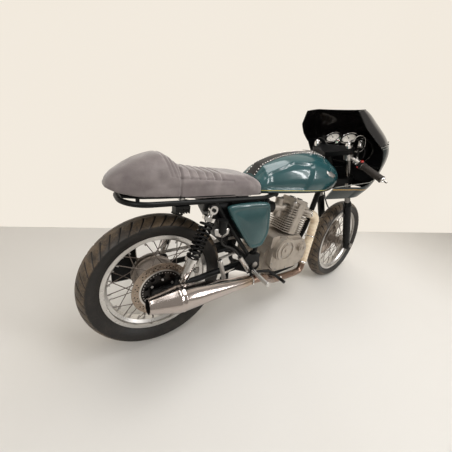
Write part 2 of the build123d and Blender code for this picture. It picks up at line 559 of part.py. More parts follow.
# ---------------------------------------------------------------- engine
CYL_TILT = 15.0
CASE_HALF = 92.0
CASE = about(CRANK, [(-192, -95), (-198, 0), (-142, 75), (-70, 91), (80, 75), (138, 20), (135, -70),
                     (80, -139), (-150, -139)])
FRONT_LUG = about(CRANK, [(120, -77), (170, -77), (170, -47), (120, -47)])
LOW_LUG = about((CRANK[0], CRADLE_Z), [(-150, -4), (-106, -4), (-106, 26), (-150, 26)])
PIVOT_LUG = about(PIVOT, [(22, 0), (112, -16), (112, 20), (22, 28)])
case = slab(CASE, -CASE_HALF, CASE_HALF, 18.0)
case -= nodes["frame_cradle"]
case -= slab(about(CRANK, [(-270, -145), (-270, 125), (-86, 125), (-86, -145)]), 66, CASE_HALF + 5)
case += disc(FRONT_SPROCKET, DRIVE_R - 0.4, 60, SPROCKET_Y + 3)
case += slab(FRONT_LUG, -14, 14) - nodes["frame_downtube"]
case += slab(LOW_LUG, -96, 96) - nodes["frame_cradle"]
case += slab(PIVOT_LUG, 40, 60) + slab(PIVOT_LUG, -60, -40)
case -= disc(PIVOT, 19.0 + SEAT_GAP, -94, 94)
keep("crankcase", main_solid(case))
RIGHT_COVER = about(CRANK, [(-172, -65), (-170, 30), (-120, 83), (80, 67), (118, 10), (110, -65), (60, -110),
                            (-130, -110)])
LEFT_COVER = about(CRANK, [(-66, -65), (-64, 65), (80, 67), (118, 10), (110, -65), (60, -110), (-64, -105)])
SPROCKET_COVER = about(CRANK, [(-195, -50), (-195, 35), (-150, 67), (-76, 67), (-76, -65), (-130, -65)])
SMALL_COVER = about(CRANK, [(-186, 42), (-182, 112), (-132, 118), (-128, 60)])
CLUTCH = about(CRANK, [(-92, 33)])[0]
OIL_CAP = about(CRANK, [(56, 20)])[0]
# clutch rows: radius, bore, y low, y high
CLUTCH_ROWS = [(72, 0, -150, -120), (64, 52, -155, -148), (34, 0, -156, -148), (12, 0, -160, -154)]
right_cover = slab(RIGHT_COVER, -128, -CASE_HALF, 24.0)
right_cover += stack(CLUTCH_ROWS).translate((CLUTCH[0], 0, CLUTCH[1]))
right_cover += disc(OIL_CAP, 27.0, -146, -120) + disc(OIL_CAP, 18.0, -150, -144, 12.0)
right_cover += slab(SMALL_COVER, -122, -70, 8.0) - nodes["crankcase"]
keep("clutch_cover", right_cover)
left_cover = slab(LEFT_COVER, CASE_HALF, 112, 24.0)
left_cover += disc(CRANK, 70.0, 108, 142) + disc(CRANK, 26.0, 140, 147)
sprocket_cover = slab(SPROCKET_COVER, CASE_HALF, 112, 14.0)
keep("generator_cover", Compound([left_cover.solid(), sprocket_cover.solid()]))

CYL_WAY = Vector(sin(radians(CYL_TILT)), 0, cos(radians(CYL_TILT)))


def cyl_plane(level):
    """Plane square to the cylinder, level up from the crank."""
    return Plane(origin=Vector(CRANK[0], 0, CRANK[1]) + CYL_WAY * level, x_dir=(CYL_WAY.Z, 0, -CYL_WAY.X),
                 z_dir=CYL_WAY)


def cyl_block(level, length_x, length_y, height, corner, shift=0.0):
    """Rounded block square to the cylinder, standing on level."""
    return extrude(cyl_plane(level) * Pos(shift, 0) * RectangleRounded(length_x, length_y, corner), height)


FIN_PITCH, FIN_THICK, FIN_COUNT = 13.6, 4.2, 8
HEAD_FINS = 4
TUNNEL = (-16.0, -70.0, 54.0, 30.0)     # cam chain tunnel: middle ahead, middle across, lengths
BARREL_LOW, BARREL_HIGH = 88.0, 194.0
barrel = extrude(cyl_plane(BARREL_LOW) * Circle(58), BARREL_HIGH - BARREL_LOW)
for i in range(FIN_COUNT):
    barrel += cyl_block(BARREL_LOW + 4 + i * FIN_PITCH, 172, 158, FIN_THICK, 26)
tunnel_mark = Pos(TUNNEL[0], TUNNEL[1]) * RectangleRounded(TUNNEL[2], TUNNEL[3], 9)
barrel += extrude(cyl_plane(BARREL_LOW) * tunnel_mark, BARREL_HIGH - BARREL_LOW)
barrel -= case
keep("cylinder", barrel)
head = cyl_block(BARREL_HIGH, 120, 120, 96, 20)
for i in range(HEAD_FINS):
    head += cyl_block(BARREL_HIGH + i * FIN_PITCH, 180, 164, FIN_THICK, 26)
head += cyl_block(BARREL_HIGH + 58, 150, 138, 14, 20) + cyl_block(BARREL_HIGH + 72, 120, 104, 26, 16)
head += extrude(cyl_plane(BARREL_HIGH) * tunnel_mark, 78)
PORT = Vector(CRANK[0], 0, CRANK[1]) + CYL_WAY * 226
EXHAUST_WAY = Vector(CYL_WAY.Z, -0.12, -CYL_WAY.X).normalized()
INTAKE_WAY = Vector(-CYL_WAY.Z, 0, CYL_WAY.X * 0.45).normalized()
EXHAUST_ROOT = PORT + Vector(0, -30, 4)
INTAKE_ROOT = PORT + Vector(0, -10, 6)
exhaust_port = rod(EXHAUST_ROOT + EXHAUST_WAY * 40, EXHAUST_ROOT + EXHAUST_WAY * 112, 27.0)
intake_port = rod(INTAKE_ROOT + INTAKE_WAY * 40, INTAKE_ROOT + INTAKE_WAY * 104, 26.0)
ports = fuse(head, exhaust_port, intake_port) - nodes["cylinder"]
keep("cylinder_head", main_solid(ports))


def intake(distance, drop=0.0):
    """Point along the intake from the head, drop below its line."""
    return INTAKE_ROOT + INTAKE_WAY * distance - Vector(0, 0, drop)


carb = rod(intake(104), intake(156), 25.0) + rod(intake(156), intake(188), 29.0)
carb += rod(intake(134, 50), intake(134, -56), 23.0)
keep("carburettor", carb)
keep("air_filter", cone(intake(188), intake(262), 32.0, 44.0))

# ---------------------------------------------------------------- exhaust
HEADER_R, LINK_R = 26.0, 21.0
SILENCER_Y = -212.0
PORT_FACE = EXHAUST_ROOT + EXHAUST_WAY * 112
HEADER_TOP = PORT_FACE + EXHAUST_WAY * 82
HEADER_FOOT = Vector(CRANK[0] + 150, -104, CRADLE_Z - 24)
JOINT = HEADER_FOOT + (HEADER_TOP - HEADER_FOOT) * 0.14
keep("header_pipe", pipe([PORT_FACE, HEADER_TOP, JOINT], HEADER_R, [44.0]))
SIL_FRONT = Vector(PIVOT[0] - 73, SILENCER_Y + 18, PIVOT[1] - 38)
SIL_WIDE = Vector(PIVOT[0] - 462, SILENCER_Y, PIVOT[1] - 6)
SIL_WAY = (SIL_FRONT - SIL_WIDE).normalized()
UNDER_FRONT = Vector(CRANK[0] + 70, -108, CRADLE_Z - 30)
UNDER_REAR = Vector(CRANK[0] - 130, -132, CRADLE_Z - 4)
link = pipe([JOINT, HEADER_FOOT, UNDER_FRONT, UNDER_REAR, SIL_FRONT + SIL_WAY * 90, SIL_FRONT],
            LINK_R, [40.0, 200.0, 160.0, 120.0])
keep("link_pipe", link)
# silencer rows: distance back from its front, radius; the last two go back up the open mouth
SILENCER_ROWS = [(0, 0), (0, 24), (372, 54), (396, 54), (508, 29), (508, 26), (410, 40), (410, 0)]
silencer = turned(SIL_FRONT, -SIL_WAY, SILENCER_ROWS)
HANGER = Vector(PIVOT[0] - 150, -133.5, PIVOT[1] - 30)
hanger = rod(HANGER, SIL_FRONT - SIL_WAY * 84, 6.0)
keep("silencer", silencer + hanger)

# ---------------------------------------------------------------- tank and seat
# tank rows: share of its length, half width at the base, at the middle and at the shoulder, base and
# top over TANK_BASE
TANK_BACK, TANK_FRONT = 462.0, HEAD.X + 5
TANK_ROWS = [(0.0, 82, 90, 42, 0, 74), (0.10, 92, 102, 62, 0, 132), (0.308, 108, 122, 84, 0, 174),
             (0.55, 128, 143, 100, 2, 194), (0.758, 132, 148, 100, 6, 194), (0.913, 116, 134, 82, 16, 168),
             (1.0, 84, 100, 56, 32, 128)]


def tank_section(share, base, middle, shoulder, rise, height):
    """Slice across the tank: flat base, bulged sides, domed top."""
    x = TANK_BACK + share * (TANK_FRONT - TANK_BACK)
    low, high = TANK_BASE + rise, TANK_BASE + height
    mid_z = low + (high - low) * 0.42
    shoulder_z = low + (high - low) * 0.82
    edges = [Line((x, -base, low), (x, base, low)),
             ThreePointArc((x, base, low), (x, middle, mid_z), (x, shoulder, shoulder_z)),
             ThreePointArc((x, shoulder, shoulder_z), (x, 0, high), (x, -shoulder, shoulder_z)),
             ThreePointArc((x, -shoulder, shoulder_z), (x, -middle, mid_z), (x, -base, low))]
    return make_face(Wire([e.edge() for e in edges]))


tank = loft([tank_section(*row) for row in TANK_ROWS])
tunnel = pipe([SPINE_TOP, SPINE_BEND, spine_foot, (420, 0, RAIL_Z - 20)], 27.0, [260.0, 300.0])
TUNNEL_SIDE = [(440, RAIL_Z - 32), (440, RAIL_Z + 3), SPINE_END, (SPINE_BEND.X, SPINE_BEND.Z),
               (SPINE_TOP.X + 22, SPINE_TOP.Z), (SPINE_TOP.X + 22, RAIL_Z - 32)]
tank = tank - tunnel - slab(TUNNEL_SIDE, -27, 27)
keep("fuel_tank", main_solid(tank))
CAP = Vector(TANK_BACK + 0.675 * (TANK_FRONT - TANK_BACK), 0, TANK_BASE + 190)
CAP_R, CAP_RISE = 32.0, 18.0
cap = rod(CAP, CAP + Vector(0.02, 0, 1) * CAP_RISE, CAP_R) - nodes["fuel_tank"]
keep("filler_cap", main_solid(cap))

SEAT_BASE = TANK_BASE + 7.0
# seat rows: x, half width, top at the middle and at the edge over SEAT_BASE
SEAT_ROWS = [(-192, 44, 34, 20), (-150, 84, 82, 50), (-86, 108, 120, 73), (-25, 115, 140, 79),
             (10, 117, 139, 79), (40, 118, 118, 73), (70, 119, 98, 66), (105, 120, 89, 62),
             (260, 121, 75, 55), (452, 116, 61, 43)]


def seat_section(x, half, top, edge):
    """Slice across the seat: flat base, near upright sides, crowned top."""
    crown, shoulder = SEAT_BASE + top, SEAT_BASE + edge
    edges = [Line((x, -half, SEAT_BASE), (x, half, SEAT_BASE)),
             Line((x, half, SEAT_BASE), (x, half - 4, shoulder)),
             ThreePointArc((x, half - 4, shoulder), (x, 0, crown), (x, 4 - half, shoulder)),
             Line((x, 4 - half, shoulder), (x, -half, SEAT_BASE))]
    return make_face(Wire([e.edge() for e in edges]))


PAN_THICK = 4.0
keep("seat_pad", loft([seat_section(*row) for row in SEAT_ROWS], ruled=True))
pan_outline = [(x, half - 2) for x, half, *_ in SEAT_ROWS[1:]]
pan_points = pan_outline + [(x, -y) for x, y in reversed(pan_outline)]
pan_base = SEAT_BASE - SEAT_GAP - PAN_THICK
pan = extrude(Pos(0, 0, pan_base) * make_face(Polyline(*pan_points, close=True)), PAN_THICK)
posts = [rod((x, y, RAIL_Z), (x, y, pan_base + 1), 7.0) for x in (-100, 330) for y in (-96, 96)]
keep("seat_pan", fuse(pan, *posts) - nodes["frame_spine"] - nodes["frame_cradle"])

# side covers and electrics box
COVER = about((0, RAIL_Z), [(240, -16), (498, -10), (520, -172), (492, -244), (420, -254)])
COVER_HALF = 148.0
cover = slab(COVER, -COVER_HALF, 20 - COVER_HALF, 22.0)
cover = fillet(cover.faces().sort_by(Axis.Y)[0].edges(), 8.0)
bosses = fuse(disc((336, RAIL_Z - 172), 8.0, -130, -114), disc((489, RAIL_Z - 122), 8.0, -130, -114))
cover = main_solid(cover + (bosses - nodes["frame_cradle"]))
keep("side_covers", both(cover))
BOX = about((0, RAIL_Z), [(300, -172), (300, -20), (470, -20), (500, -172), (440, -232)])
box = slab(BOX, -98, 98, 10.0)
keep("electrics_box", main_solid(box - nodes["frame_cradle"]))
# finned rectifier under the right seat rail
RECTIFIER = (60.0, -104.0, RAIL_Z - RAIL_R - SEAT_GAP)
RECTIFIER_FINS, RECTIFIER_PITCH = 6, 11.0
rectifier = Pos(RECTIFIER[0], RECTIFIER[1], RECTIFIER[2] - 5) * Box(60, 40, 10)
for i in range(RECTIFIER_FINS):
    across = (i - (RECTIFIER_FINS - 1) / 2) * RECTIFIER_PITCH
    rectifier += Pos(RECTIFIER[0] + across, RECTIFIER[1], RECTIFIER[2] - 19) * Box(4, 40, 22)
keep("rectifier", rectifier)

# ---------------------------------------------------------------- fairing, screen and headlamp
# fairing rows, from the middle of the top yoke: height, nose, widest place, half width there, half
# width at the rear edge of the lower lobe
FAIRING_ROWS = [(-256, 295, 85, 152, 140), (-196, 337, 85, 186, 160), (-126, 373, 90, 216, 178),
                (-36, 389, 95, 240, 196), (44, 377, 75, 250, 206), (114, 317, 35, 234, 196),
                (174, 227, -5, 198, 168), (244, 85, -50, 142, 116)]
SHELL = 3.5
REAR_CUT = HEAD.X - 195.0


def fairing_body(inset):
    """Closed body inside the fairing's skin, inset from its outer face."""
    slices = []
    for rise, ahead, wide, half, rear_half in FAIRING_ROWS:
        z, nose, wide_x = HEAD.Z + rise, HEAD.X + ahead, HEAD.X + wide
        w, r = half - inset, rear_half - inset
        edges = [ThreePointArc((wide_x, w, z), (nose - inset, 0, z), (wide_x, -w, z)),
                 Line((wide_x, -w, z), (REAR_CUT, -r, z)), Line((REAR_CUT, -r, z), (REAR_CUT, r, z)),
                 Line((REAR_CUT, r, z), (wide_x, w, z))]
        slices.append(make_face(Wire([e.edge() for e in edges])))
    return loft(slices)


skin = fairing_body(0.0) - fairing_body(SHELL)
# side outline of the fairing and screen, from the top yoke; behind its notch are the hands
SIDE_VIEW = [(-130, -244), (-115, -166), (98, -166), (141, -154), (179, -115), (177, -50), (146, 0),
             (112, 44), (27, 92), (-44, 145), (-74, 217), (5, 237), (215, 255), (445, 145), (445, -165),
             (295, -185), (205, -233), (63, -246)]
SCREEN_LINE = [(-35, 30), (445, 135), (445, 345), (-135, 345), (-135, 30)]
YOKE_CENTRE = (HEAD.X, HEAD.Z)
LAMP = HEAD + Vector(287, 0, 30)
LAMP_R, LENS_HOLE = 76.0, 5.0
skin = skin & slab(about(YOKE_CENTRE, SIDE_VIEW), -320, 320)
screen_zone = slab(about(YOKE_CENTRE, SCREEN_LINE), -320, 320)
lens_cut = rod(LAMP, LAMP + Vector(160, 0, 0), LAMP_R + LENS_HOLE)
keep("fairing_shell", main_solid(skin - screen_zone - lens_cut))
keep("windscreen", main_solid((skin & screen_zone) - lens_cut))

LENS_RISE = 10.0
lens = cone(LAMP + Vector(70, 0, 0), LAMP + Vector(70 + LENS_RISE, 0, 0), LAMP_R - 8, LAMP_R - 34)
lamp = rod(LAMP, LAMP + Vector(70, 0, 0), LAMP_R) + cone(LAMP, LAMP - Vector(40, 0, 0), LAMP_R - 4, 40.0)
keep("headlamp", lamp + lens)
STAY_BEND, STAY_END = HEAD + Vector(195, 0, -66), HEAD + Vector(265, 0, -51)
STAY_REACH = 240.0
lamp_seat = HEAD + Vector(287, 0, -44)
stay = pipe([stem_point(650, 0, HEAD_R - 2), STAY_BEND, STAY_END], 10.0, [120.0])
stay += rod(STAY_END - Vector(0, STAY_REACH, 0), STAY_END + Vector(0, STAY_REACH, 0), 8.0)
stay += rod(STAY_END, lamp_seat, 8.0)
stay = stay - rod(stem_point(HEAD_LOW), stem_point(HEAD_HIGH), HEAD_R) - nodes["headlamp"]
keep("fairing_stay", main_solid(stay & fairing_body(SHELL + SEAT_GAP)))

# ---------------------------------------------------------------- foot controls and rear brake
PEG_R = 10.0
PILLION = about(PIVOT, [(-193, -46)])[0]
PLATE_LOW, PLATE_HIGH = 124.0, 132.0
SET_PLATE = about(PIVOT, [(-78, -44), (2, -50), (34, -20), (22, 58), (-58, 68), (-128, 0), (-208, -27),
                          (-204, -60)])
PEDAL = about(PIVOT, [(-8, -40)])[0]
PEDAL_KNEE, PEDAL_TOE = about(PIVOT, [(97, -52), (170, -106)])
GEAR_TOE = about(PIVOT, [(162, -72)])[0]
set_plate = slab(SET_PLATE, PLATE_LOW, PLATE_HIGH, 8.0) - disc(PIVOT, 21.0, 120, 140)
peg = rod((PIVOT[0] - 34, 128, PIVOT[1] - 9), (PIVOT[0] - 48, 292, PIVOT[1] - 5), PEG_R)
pillion = disc(PILLION, 12.0, PLATE_LOW, 158)
pillion += rod((PILLION[0], 150, PILLION[1]), (PILLION[0] - 47, 156, PILLION[1] + 136), PEG_R)
lugs = [disc(point, 9.0, 118, 128) for point in about(PIVOT, [(10, 36), (-50, 52)])]
half_set = fuse(set_plate, peg, pillion, *lugs)
pedal = fuse(rod((PEDAL[0], -138, PEDAL[1]), (PEDAL_KNEE[0], -150, PEDAL_KNEE[1]), 8.0),
             rod((PEDAL_KNEE[0], -150, PEDAL_KNEE[1]), (PEDAL_TOE[0], -176, PEDAL_TOE[1]), 8.0),
             disc(PEDAL_TOE, 9.0, -214, -164), disc(PEDAL, 12.0, -146, -PLATE_HIGH))
gear = fuse(rod((PEDAL[0], 138, PEDAL[1]), (GEAR_TOE[0], 150, GEAR_TOE[1]), 7.0),
            disc(GEAR_TOE, 9.0, 142, 190), disc(PEDAL, 12.0, PLATE_HIGH, 146))
right_set = half_set.mirror(Plane.XZ) + pedal - nodes["frame_cradle"]
left_set = half_set + gear - nodes["frame_cradle"]
keep("foot_controls", Compound([right_set.solid(), left_set.solid()]))
MASTER_Y = -147.0
MASTER_TOP = Vector(PIVOT[0] - 122, MASTER_Y, PIVOT[1] + 80)
MASTER_FOOT = Vector(PIVOT[0] - 54, MASTER_Y, PIVOT[1] - 12)
master_boss = disc(about(PIVOT, [(-60, 13)])[0], 8.0, -140, -PLATE_HIGH)
keep("rear_master_cylinder", rod(MASTER_TOP, MASTER_FOOT, 12.0) + master_boss)
RESERVOIR = Vector(236, MASTER_Y, RAIL_Z - 142)
reservoir = rod(RESERVOIR + Vector(0, 0, 10), RESERVOIR + Vector(-2, 0, 62), 20.0)
reservoir += rod(RESERVOIR, RESERVOIR + Vector(0, 0, 10), 12.0)
reservoir += rod(RESERVOIR + Vector(-2, 0, 62), RESERVOIR + Vector(-2, 0, 68), 22.0)
bracket = rod((306, -114, RAIL_Z - 132), (240, MASTER_Y, RAIL_Z - 137), 5.0) - nodes["frame_cradle"]
keep("brake_reservoir", main_solid(reservoir + bracket))
keep("rear_brake_hose", hose([RESERVOIR, RESERVOIR + Vector(2, 0, -50), MASTER_TOP + Vector(-36, 0, 48),
                              MASTER_TOP], HOSE_R))

REAR_CALIPER = about(REAR_CENTRE, [(94, -55), (140, -63), (158, -13), (112, -7), (100, -13)])
CALIPER_LUG = about(REAR_CENTRE, [(108, -29), (148, -29), (148, 20), (108, 20)])
disc_caliper = slab(REAR_CALIPER, -81, -60, 6.0)
disc_caliper -= disc(REAR_CENTRE, REAR_DISC_R + 3, REAR_DISC_Y - 4, REAR_DISC_Y + 4)
disc_caliper -= disc(REAR_CENTRE, 104.0, -90, -50)
caliper_lug = slab(CALIPER_LUG, -92, -79.5) - nodes["swingarm"]
keep("rear_caliper", main_solid(disc_caliper + caliper_lug))

BOARD = about(REAR_CENTRE, [(-172, -85), (-172, 95), (-52, 95), (-52, -85)])
BOARD_Y = 170.0
TAIL_R = 24.0
TAIL = about(REAR_CENTRE, [(-108, 95 + TAIL_R + SEAT_GAP)])[0]
board_arm = rod((46, ARM_Y + 4, REAR_TYRE_R + 13), (-64, BOARD_Y, REAR_TYRE_R + 27), 7.0) - nodes["swingarm"]
keep("plate_bracket", main_solid(board_arm) + slab(BOARD, BOARD_Y - 2, BOARD_Y + 2, 10.0))
keep("tail_lamp", disc(TAIL, TAIL_R, BOARD_Y - 18, BOARD_Y + 18))

# ---------------------------------------------------------------- side stand
STAND_PIVOT = Vector(520, 128, 230)
STAND_FOOT = Vector(600, 262, 0)
CROWN_DROP = REAR_CROWN * (1 - cos(radians(LEAN)))
FOOT_Z = (STAND_FOOT.Y * sin(radians(LEAN)) - CROWN_DROP) / cos(radians(LEAN))
foot_top = Vector(STAND_FOOT.X, STAND_FOOT.Y, FOOT_Z + 8)
GROUND_UP = Vector(0, -sin(radians(LEAN)), cos(radians(LEAN)))
foot_plane = Plane(origin=Vector(STAND_FOOT.X, STAND_FOOT.Y, FOOT_Z), x_dir=(1, 0, 0), z_dir=GROUND_UP)
STOWED = Vector(-0.975, 0.13, 0.18).normalized()
DEPLOYED = (Vector(STAND_FOOT.X, STAND_FOOT.Y, FOOT_Z) - STAND_PIVOT).normalized()
STAND_AXIS = DEPLOYED.cross(STOWED).normalized()
stand_leg = rod(foot_top, STAND_PIVOT + DEPLOYED * 6, 9.0)
stand_boss = rod(STAND_PIVOT - STAND_AXIS * 10, STAND_PIVOT + STAND_AXIS * 10, 12.0)
stand_foot = extrude(foot_plane * RectangleRounded(62, 44, 12), 6)
keep("side_stand", fuse(stand_foot, stand_leg, stand_boss))
STAND_ROOM = 4.0           # round the moving boss
lug_end = STAND_PIVOT - STAND_AXIS * (10 + SEAT_GAP)
stand_lug = rod(lug_end, lug_end - STAND_AXIS * 14, 12.0)
stand_arm = rod(lug_end - STAND_AXIS * 8, (514, 106, CRADLE_Z + 18), 8.0)
stand_arm -= rod(lug_end, lug_end + STAND_AXIS * 40, 12.0 + STAND_ROOM)
nodes["frame_cradle"] = nodes["frame_cradle"] + stand_lug + stand_arm

# ---------------------------------------------------------------- parking
STEER_AXIS = Axis(STEER_FOOT, UP)
GROUND_AXIS = Axis((0, 0, 0), (1, 0, 0))


def parked(name, shape):
    """Turn a steered piece with the bars, then lean it with the whole machine."""
    if name in STEERED:
        shape = shape.rotate(STEER_AXIS, STEER_REST)
    return shape.rotate(GROUND_AXIS, -LEAN).translate((0, 0, CROWN_DROP))


placed = {name: parked(name, shape) for name, shape in nodes.items()}
whole = Compound([s for shape in placed.values() for s in shape.solids()]).bounding_box()
ORIGIN = Vector((whole.min.X + whole.max.X) / 2, (whole.min.Y + whole.max.Y) / 2, whole.min.Z)
for name, shape in placed.items():
    solids = [s for s in shape.translate(-ORIGIN).solids()]
    export_step(Compound(solids) if len(solids) > 1 else solids[0], f"parts/{name}.step")
print("overall", [round(v, 1) for v in whole.size], "origin", ORIGIN)
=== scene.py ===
"""Looks of a single-cylinder cafe racer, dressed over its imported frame.

The frame holds every rigid part at its real place.  This script gives each of them a finish, replaces
the tyres, chain, pipe wrap and seat by detailed meshes, and adds the trim: dials, bolts, nipples,
piping and straps.  Lengths are in metres, unless a docstring says millimetres.
"""
from __future__ import annotations

import json
import logging
import math
from dataclasses import dataclass
from enum import Enum
from functools import partial, partialmethod
from typing import Callable, Iterable, Sequence

import bmesh
import bpy
import numpy as np
from mathutils import Matrix, Vector
from mathutils.bvhtree import BVHTree

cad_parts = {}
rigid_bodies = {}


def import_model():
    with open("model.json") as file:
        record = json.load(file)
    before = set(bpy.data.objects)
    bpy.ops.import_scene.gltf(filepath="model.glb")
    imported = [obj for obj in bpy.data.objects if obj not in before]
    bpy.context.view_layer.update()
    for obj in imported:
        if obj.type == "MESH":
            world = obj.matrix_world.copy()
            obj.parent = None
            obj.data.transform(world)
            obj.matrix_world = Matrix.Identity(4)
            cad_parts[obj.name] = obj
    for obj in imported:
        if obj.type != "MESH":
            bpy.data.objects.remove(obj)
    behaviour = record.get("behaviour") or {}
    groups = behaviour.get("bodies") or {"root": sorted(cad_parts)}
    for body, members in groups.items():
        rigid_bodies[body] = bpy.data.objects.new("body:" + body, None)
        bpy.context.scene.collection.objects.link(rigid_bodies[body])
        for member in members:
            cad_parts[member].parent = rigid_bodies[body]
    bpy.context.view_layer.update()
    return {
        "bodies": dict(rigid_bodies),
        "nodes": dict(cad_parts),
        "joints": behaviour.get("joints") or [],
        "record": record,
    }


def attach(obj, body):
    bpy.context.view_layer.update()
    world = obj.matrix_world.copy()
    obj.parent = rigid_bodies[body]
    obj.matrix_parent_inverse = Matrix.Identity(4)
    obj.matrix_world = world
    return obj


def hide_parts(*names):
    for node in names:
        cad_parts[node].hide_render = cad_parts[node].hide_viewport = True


LOG = logging.getLogger("cafe_racer")
Point = Sequence[float]
Colour = tuple[float, float, float]
Mesh = tuple[np.ndarray, np.ndarray]

# driving dimensions of the frame
WHEELBASE = 1.420
FRONT_R, REAR_R = 0.310, 0.325
RAKE = math.radians(27.0)
STEER_UP = np.array((-math.sin(RAKE), 0.0, math.cos(RAKE)))
STEER_AHEAD = np.array((math.cos(RAKE), 0.0, math.sin(RAKE)))
TANK_BASE = 0.750
SEAT_BASE = TANK_BASE + 0.007
CRANK = np.array((0.770, 0.0, 0.395))
PIVOT = (0.478, 0.372)
CYLINDER_TILT = math.radians(15.0)
CYLINDER_UP = np.array((math.sin(CYLINDER_TILT), 0.0, math.cos(CYLINDER_TILT)))
CYLINDER_FORE = np.array((math.cos(CYLINDER_TILT), 0.0, -math.sin(CYLINDER_TILT)))
# outer radius, radius of the tread across the tyre, half width, half width at the bead
TYRES = {"front": (FRONT_R, 0.052, 0.047, 0.029), "rear": (REAR_R, 0.084, 0.063, 0.036)}
# stands in place of the tread's angle on a tyre's side wall
WALL = 9.0


class Body(str, Enum):
    """Moving bodies of the frame."""

    CHASSIS = "chassis"
    FORK = "fork"
    FRONT_WHEEL = "front_wheel"
    REAR_WHEEL = "rear_wheel"


class Grain(Enum):
    """Kinds of surface that a finish can have."""

    PAINT = "paint"
    CHROME = "chrome"
    GLASS = "glass"
    CAST = "cast"
    BRUSHED = "brushed"
    SOFT = "soft"


def vec(p: Point) -> np.ndarray:
    """Returns p as a numpy vector."""
    return np.array(p, dtype=float)


def unit(v: Point) -> np.ndarray:
    """Returns v at length one."""
    return vec(v) / np.linalg.norm(v)


def circle(count: int) -> np.ndarray:
    """Equal angles round a circle."""
    return np.linspace(0, 2 * math.pi, count, endpoint=False)


def ease(t: np.ndarray) -> np.ndarray:
    """Smooth step from 0 to 1."""
    t = np.clip(t, 0, 1)
    return t ** 2 * (3 - 2 * t)


@dataclass(frozen=True)
class Bike:
    """Axes of the upright machine inside the leaning frame.

    A point is given as x forward, y left and z up from the ground below the rear axle, as the machine
    stands upright with its bars straight.  Each method takes one point or an array of them.
    """

    origin: np.ndarray
    left: np.ndarray
    up: np.ndarray
    front_axle: np.ndarray
    fork_left: np.ndarray
    fork_up: np.ndarray

    @classmethod
    def from_frame(cls, frame: dict) -> "Bike":
        joints = {j["name"]: j for j in frame["record"]["behaviour"]["joints"]}
        rear, front, steer = (joints[n] for n in ("rear_wheel_spin", "front_wheel_spin", "steering"))
        left = unit(rear["axis"])
        up = np.cross((1.0, 0.0, 0.0), left)
        return cls(vec(rear["pos_m"]) - up * REAR_R, left, up, vec(front["pos_m"]), unit(front["axis"]),
                   unit(steer["axis"]))

    @property
    def axes(self) -> np.ndarray:
        """Forward, left and up as rows."""
        return np.array([(1.0, 0.0, 0.0), self.left, self.up])

    def way(self, v: Point) -> np.ndarray:
        """Direction v of the upright machine in the frame."""
        return np.asarray(v, dtype=float) @ self.axes

    def at(self, p: Point) -> np.ndarray:
        """Point of the upright machine in the frame."""
        return self.origin + self.way(p)

    def turned(self, v: Point) -> np.ndarray:
        """Direction of a steered piece in the frame, given with the bars straight."""
        v = np.asarray(v, dtype=float)
        parts = np.stack([v @ STEER_UP, v[..., 1], v @ STEER_AHEAD], axis=-1)
        return parts @ np.array([self.fork_up, self.fork_left, np.cross(self.fork_left, self.fork_up)])

    def steered(self, p: Point) -> np.ndarray:
        """Point of a steered piece in the frame, given with the bars straight."""
        return self.front_axle + self.turned(np.asarray(p) - (WHEELBASE, 0.0, FRONT_R))


# ------------------------------------------------------------------ shader graphs
class Sock:
    """Number in a shader graph, with operators that add Math nodes."""

    def __init__(self, graph: "Graph", value: object) -> None:
        self.graph = graph
        self.value = value

    def node(self, kind: str, *others: object, clamp: bool = False) -> "Sock":
        """Math node on this number and the others."""
        node = self.graph.add("ShaderNodeMath", dict(enumerate((self, *others))), operation=kind,
                              use_clamp=clamp)
        return Sock(self.graph, node.outputs[0])

    __add__ = __radd__ = partialmethod(node, "ADD")
    __mul__ = __rmul__ = partialmethod(node, "MULTIPLY")
    __sub__ = partialmethod(node, "SUBTRACT")
    __pow__ = partialmethod(node, "POWER")
    abs = partialmethod(node, "ABSOLUTE")
    sin = partialmethod(node, "SINE")
    most = partialmethod(node, "MAXIMUM")

    def __rsub__(self, other: object) -> "Sock":
        """The other less this number."""
        return self * -1.0 + other

    def step(self, low: float, high: float) -> "Sock":
        """Smooth rise from 0 at low to 1 at high; a fall where low is the larger."""
        flip = low > high
        stops = {"Value": self, "From Min": min(low, high), "From Max": max(low, high),
                 "To Min": float(flip), "To Max": float(not flip)}
        node = self.graph.add("ShaderNodeMapRange", stops, interpolation_type="SMOOTHSTEP")
        return Sock(self.graph, node.outputs[0])


